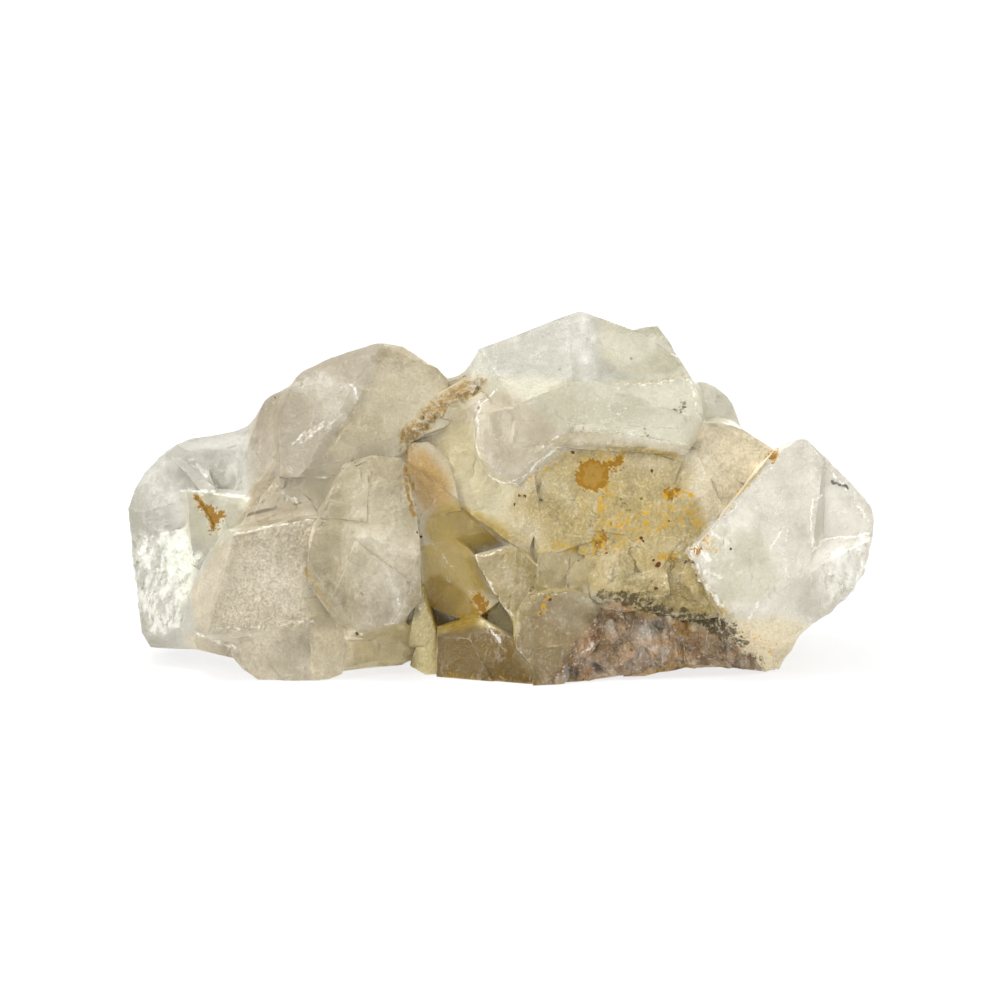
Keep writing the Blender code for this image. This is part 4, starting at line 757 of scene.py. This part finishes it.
FLUORITE_IOR = 1.434
VOLUME_TINT, VOLUME_DENSITY = (.95, .92, .8, 1), 26
MILKY_AND_SHEEN, SCRATCH_AND_HIGHLIGHT_WHITE = (.88, .87, .8, 1), (.93, .92, .87, 1)
OCHRE_DUST, OCHRE_THICK = (.56, .31, 0, 1), (.38, .19, 0, 1)
RUST_INSIDE, RUST_RIM = (.39, .215, .03, 1), (.33, .155, 0, 1)
UMBER_THIN, UMBER_THICK = (.37, .24, .05, 1), (.2, .095, .006, 1)
SOOT, RED_SPECK, BLACK_SPECK = (.045, .032, .01, 1), (.1, .014, .004, 1), (.03, .025, .015, 1)

fluorite = bpy.data.materials.new("fluorite")
fluorite.use_nodes = True
nodes = fluorite.node_tree
nodes.nodes.clear()
place = node(nodes, "ShaderNodeTexCoord", {}, {}, "Object")
show_shift = Matrix.Rotation(LEAN, 3, "X") @ SHOW_ORIGIN / MM
where = node(nodes, "ShaderNodeMapping", {},
             {"Vector": place, "Location": -show_shift, "Rotation": (LEAN, 0, 0),
              "Scale": (1 / MM,) * 3})


def layer_of(name, part="Color"):
    """One of the mesh's own layers: its colour, its fourth number or its value."""
    return node(nodes, "ShaderNodeAttribute", {"attribute_name": name}, {}, part)


def three_of(colour):
    """A colour's three numbers."""
    return (node(nodes, "ShaderNodeSeparateColor", {}, {"Color": colour}, i) for i in range(3))


def cloud(scale, detail, roughness, stretch=(1, 1, 1), turn=(0, 0, 0)):
    """Soft noise, with features about 1/scale mm across."""
    vector = node(nodes, "ShaderNodeMapping", {},
                  {"Vector": where, "Scale": stretch, "Rotation": turn})
    return node(nodes, "ShaderNodeTexNoise", {},
                {"Vector": vector, "Scale": scale, "Detail": detail, "Roughness": roughness})


broad_cloud = cloud(.13, 1, .5)
patches = cloud(.42, 3, .64)
streaks = cloud(.9, 2, .6, (1, 1, .42), (.1, .2, 0))
grain = cloud(2.7, 1, .65)
mottle = cloud(1.3, 1, .7)
sand = grain.step(.36, .64) - .5
blotch = patches.step(.3, .7) - .5

tint = layer_of("tint")
clearness, frost, edge_wear_and_highlight = three_of(layer_of("body"))
ochre, brown, soot = three_of(layer_of("stains_and_painted_shade"))
white, red, black = three_of(layer_of("lines"))
steps = layer_of("body", "Alpha")
haze = layer_of("lines", "Alpha") * (blotch * .6 + .8)
# painted shade from the shade marks, broken up by the blotches
shade = layer_of("stains_and_painted_shade", "Alpha") * (blotch * -.6 + .8)

# what lies pale on a face: fine lines, veils and cracks, a painted pearly sheen on stepped faces,
# painted glints for sparkle, and chipped edges whitened partly as a painted edge highlight
white_line = (white + (streaks - .5) * 1.6 + sand * .3).step(.4, 1) * white.step(.02, .3)
# painted sheen: pearly cleavage steps are whitened as a lustre
pearly_sheen = streaks.step(.44, .6) * steps.step(.4, .6) * (1 - shade)
veil = streaks.step(.52, .62) * broad_cloud.step(.45, .6)
glints = (grain.step(.6, .68) * (frost * 1.1 - .1 + steps * .4).max(0).min(1)
          * (patches.step(.45, .58) * .7 + .3))
# painted edge highlight with some chipping: whitening near sharp edges
chipped_edge_highlight = edge_wear_and_highlight.step(.7, .98) * patches.step(.46, .6) * (1 - steps)
cracks = (patches - .47).math("ABSOLUTE").step(.002, .014, 1, 0) * broad_cloud.step(.5, .58)

# the face's tint, lighter and darker from place to place, darker under the painted shade, and yellower
# where darker
tone = (1 - shade * .55 + sand * (frost * .34 + .03) + blotch * (frost * .22 + .03)
        + (mottle - .5) * (frost * .6 + .06) + (broad_cloud - .5) * .1
        + (streaks - .5) * .08 - (1 - pearly_sheen) * steps.step(.4, .6) * .06)
toned = node(nodes, "ShaderNodeCombineColor", {},
             {0: tone, 1: tone * 1.02 - .02, 2: tone * 1.12 - .12})
mottled_and_shaded = blend_colours(nodes, 1, tint, toned, "MULTIPLY")
# milky white mixed in: real veils, cracks and haze, with the painted sheen and painted glints
milk_and_sheen = (veil * .1 + glints * .5 + pearly_sheen * .34 + cracks * .14 + haze * .5).min(1)
pale = blend_colours(nodes, milk_and_sheen, mottled_and_shaded, MILKY_AND_SHEEN)
scratches_and_edge_highlight = (chipped_edge_highlight * .25 + white_line * .5).min(1)
edged = blend_colours(nodes, scratches_and_edge_highlight, pale, SCRATCH_AND_HIGHLIGHT_WHITE)

# stains fray where the fine noise breaks them up
fray = (mottle - .5) * 2.2 + (grain - .5) * 1.8
spot_edge = (layer_of("spot_away", "Fac") + (mottle - .5) * 2.4 + (grain - .5) * 1.4
             + (patches - .5))
spot = spot_edge.step(-.15, .2, 1, 0)
ochre_share = (ochre * .95 + fray + (patches - .5) * .8).step(.3, 1) * ochre.step(.05, .3)
ochre_tone = blend_colours(nodes, ochre.step(.6, .9), OCHRE_DUST, OCHRE_THICK)
stained = blend_colours(nodes, ochre_share * .9, edged, ochre_tone)
rust = blend_colours(nodes, spot_edge.step(-1.2, -.6), RUST_INSIDE, RUST_RIM)
stained = blend_colours(nodes, spot * .94, stained, rust)
brown_share = (brown * .95 + fray * .7 + blotch * .2).step(.15, 1) * brown.step(.02, .3)
umber = blend_colours(nodes, brown.step(.5, .9), UMBER_THIN, UMBER_THICK)
stained = blend_colours(nodes, brown_share * .8, stained, umber)
soot_share = (soot + fray + (patches - .5) * 1.6).step(.3, 1.15) * soot.step(.02, .3)
stained = blend_colours(nodes, soot_share * .88, stained, SOOT)
stained = blend_colours(nodes, red.step(.35, .6) * .95, stained, RED_SPECK)
stained = blend_colours(nodes, black.step(.1, .8) * .85, stained, BLACK_SPECK)

# how much of the cloudy surface each point has: stains and pale places hide the depth
specks = (red.step(.35, .6) + black.step(.35, .6)).min(1)
clear_share = clearness * (1.05 - blotch * .08 - (broad_cloud - .5) * .2 - (mottle - .5) * .1
                           - veil * .12 - haze * .7 - cracks * .5)
opacity = (1 - clear_share + pearly_sheen * .3 + white_line * .5 + glints * .2
           + ochre_share + spot + brown_share * .6 + soot_share + specks * .6).max(.05).min(1)
roughness = (frost * .4 + .08 + glints * .1).min(.9) + .15
height = grain * (frost * .1 + .01) + mottle * (frost * .2 + .05)
bump = node(nodes, "ShaderNodeBump", {},
            {"Height": height, "Distance": MM, "Strength": .9})
clear = node(nodes, "ShaderNodeBsdfPrincipled", {},
             {"Base Color": (1, 1, 1, 1), "Roughness": frost * .45 + .2, "IOR": FLUORITE_IOR,
              "Transmission Weight": 1, "Normal": bump})
cloudy = node(nodes, "ShaderNodeBsdfPrincipled", {},
              {"Base Color": stained, "Roughness": roughness, "IOR": FLUORITE_IOR,
               "Specular IOR Level": .3, "Normal": bump})
surface = node(nodes, "ShaderNodeMixShader", {}, {0: opacity, 1: clear, 2: cloudy})
absorbed = node(nodes, "ShaderNodeVolumeAbsorption", {},
                {"Color": VOLUME_TINT, "Density": VOLUME_DENSITY})
output = nodes.nodes.new("ShaderNodeOutputMaterial")
nodes.links.new(surface.output, output.inputs["Surface"])
nodes.links.new(absorbed.output, output.inputs["Volume"])
mesh.materials.clear()
mesh.materials.append(fluorite)
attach(cluster, "root")
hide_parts("fluorite_cluster")

# ---------------------------------------------------------------- floor, light, view
# A plain pale floor, wide soft lamps, and the camera 2 m off in front. The floor has a
# slight glow of its own, so that it stays as pale as the room with only a soft shadow.
bpy.ops.object.select_all(action="DESELECT")
bpy.ops.mesh.primitive_plane_add(size=12, location=(0, 0, -0.0001))
floor = bpy.context.object
floor.name = "floor"
paper = bpy.data.materials.new("white_floor")
paper.use_nodes = True
for name, value in {
        "Base Color": (.25, .25, .25, 1), "Roughness": 1, "Specular IOR Level": 0,
        "Emission Color": (1, 1, 1, 1), "Emission Strength": .76}.items():
    paper.node_tree.nodes["Principled BSDF"].inputs[name].default_value = value
floor.data.materials.append(paper)
floor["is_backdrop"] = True

world = bpy.data.worlds.new("soft_room")
bpy.context.scene.world = world
world.use_nodes = True
world.node_tree.nodes["Background"].inputs["Color"].default_value = (1, 1, 1, 1)
world.node_tree.nodes["Background"].inputs["Strength"].default_value = .75
LIT_POINT = Vector((0, 0, .02))


def lamp(name, place, size, power):
    """A square soft lamp that faces the cluster."""
    light = bpy.data.lights.new(name, "AREA")
    light.shape, light.size, light.energy = "SQUARE", size, power
    holder = bpy.data.objects.new(name, light)
    holder.location = place
    holder.rotation_euler = (LIT_POINT - Vector(place)).to_track_quat("-Z", "Y").to_euler()
    bpy.context.scene.collection.objects.link(holder)


lamp("top_lamp", (-.3, .1, 1.2), .8, 10)
lamp("left_lamp", (-1.0, -.7, .7), .6, 7)
lamp("back_lamp", (.4, 1.1, .6), .7, 7)

CAMERA_AWAY = 2                 # metres
PICTURE_CENTRE = Vector((0, -10, 24.3)) * MM
view = bpy.data.cameras.new("view")
view.sensor_width, view.lens = 36, 450
view.clip_start, view.clip_end = .1, 20
camera = bpy.data.objects.new("view", view)
bpy.context.scene.collection.objects.link(camera)
camera.location = to_show.inverted() @ PICTURE_CENTRE + view_out * CAMERA_AWAY
camera.rotation_euler = (-view_out).to_track_quat("-Z", "Y").to_euler()
bpy.context.scene.camera = camera
bpy.context.scene.view_settings.view_transform = "Standard"
bpy.context.scene.cycles.max_bounces = 5
bpy.context.scene.cycles.diffuse_bounces = 2
bpy.context.scene.cycles.glossy_bounces = 2
bpy.context.scene.cycles.transmission_bounces = 4

low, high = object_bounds()
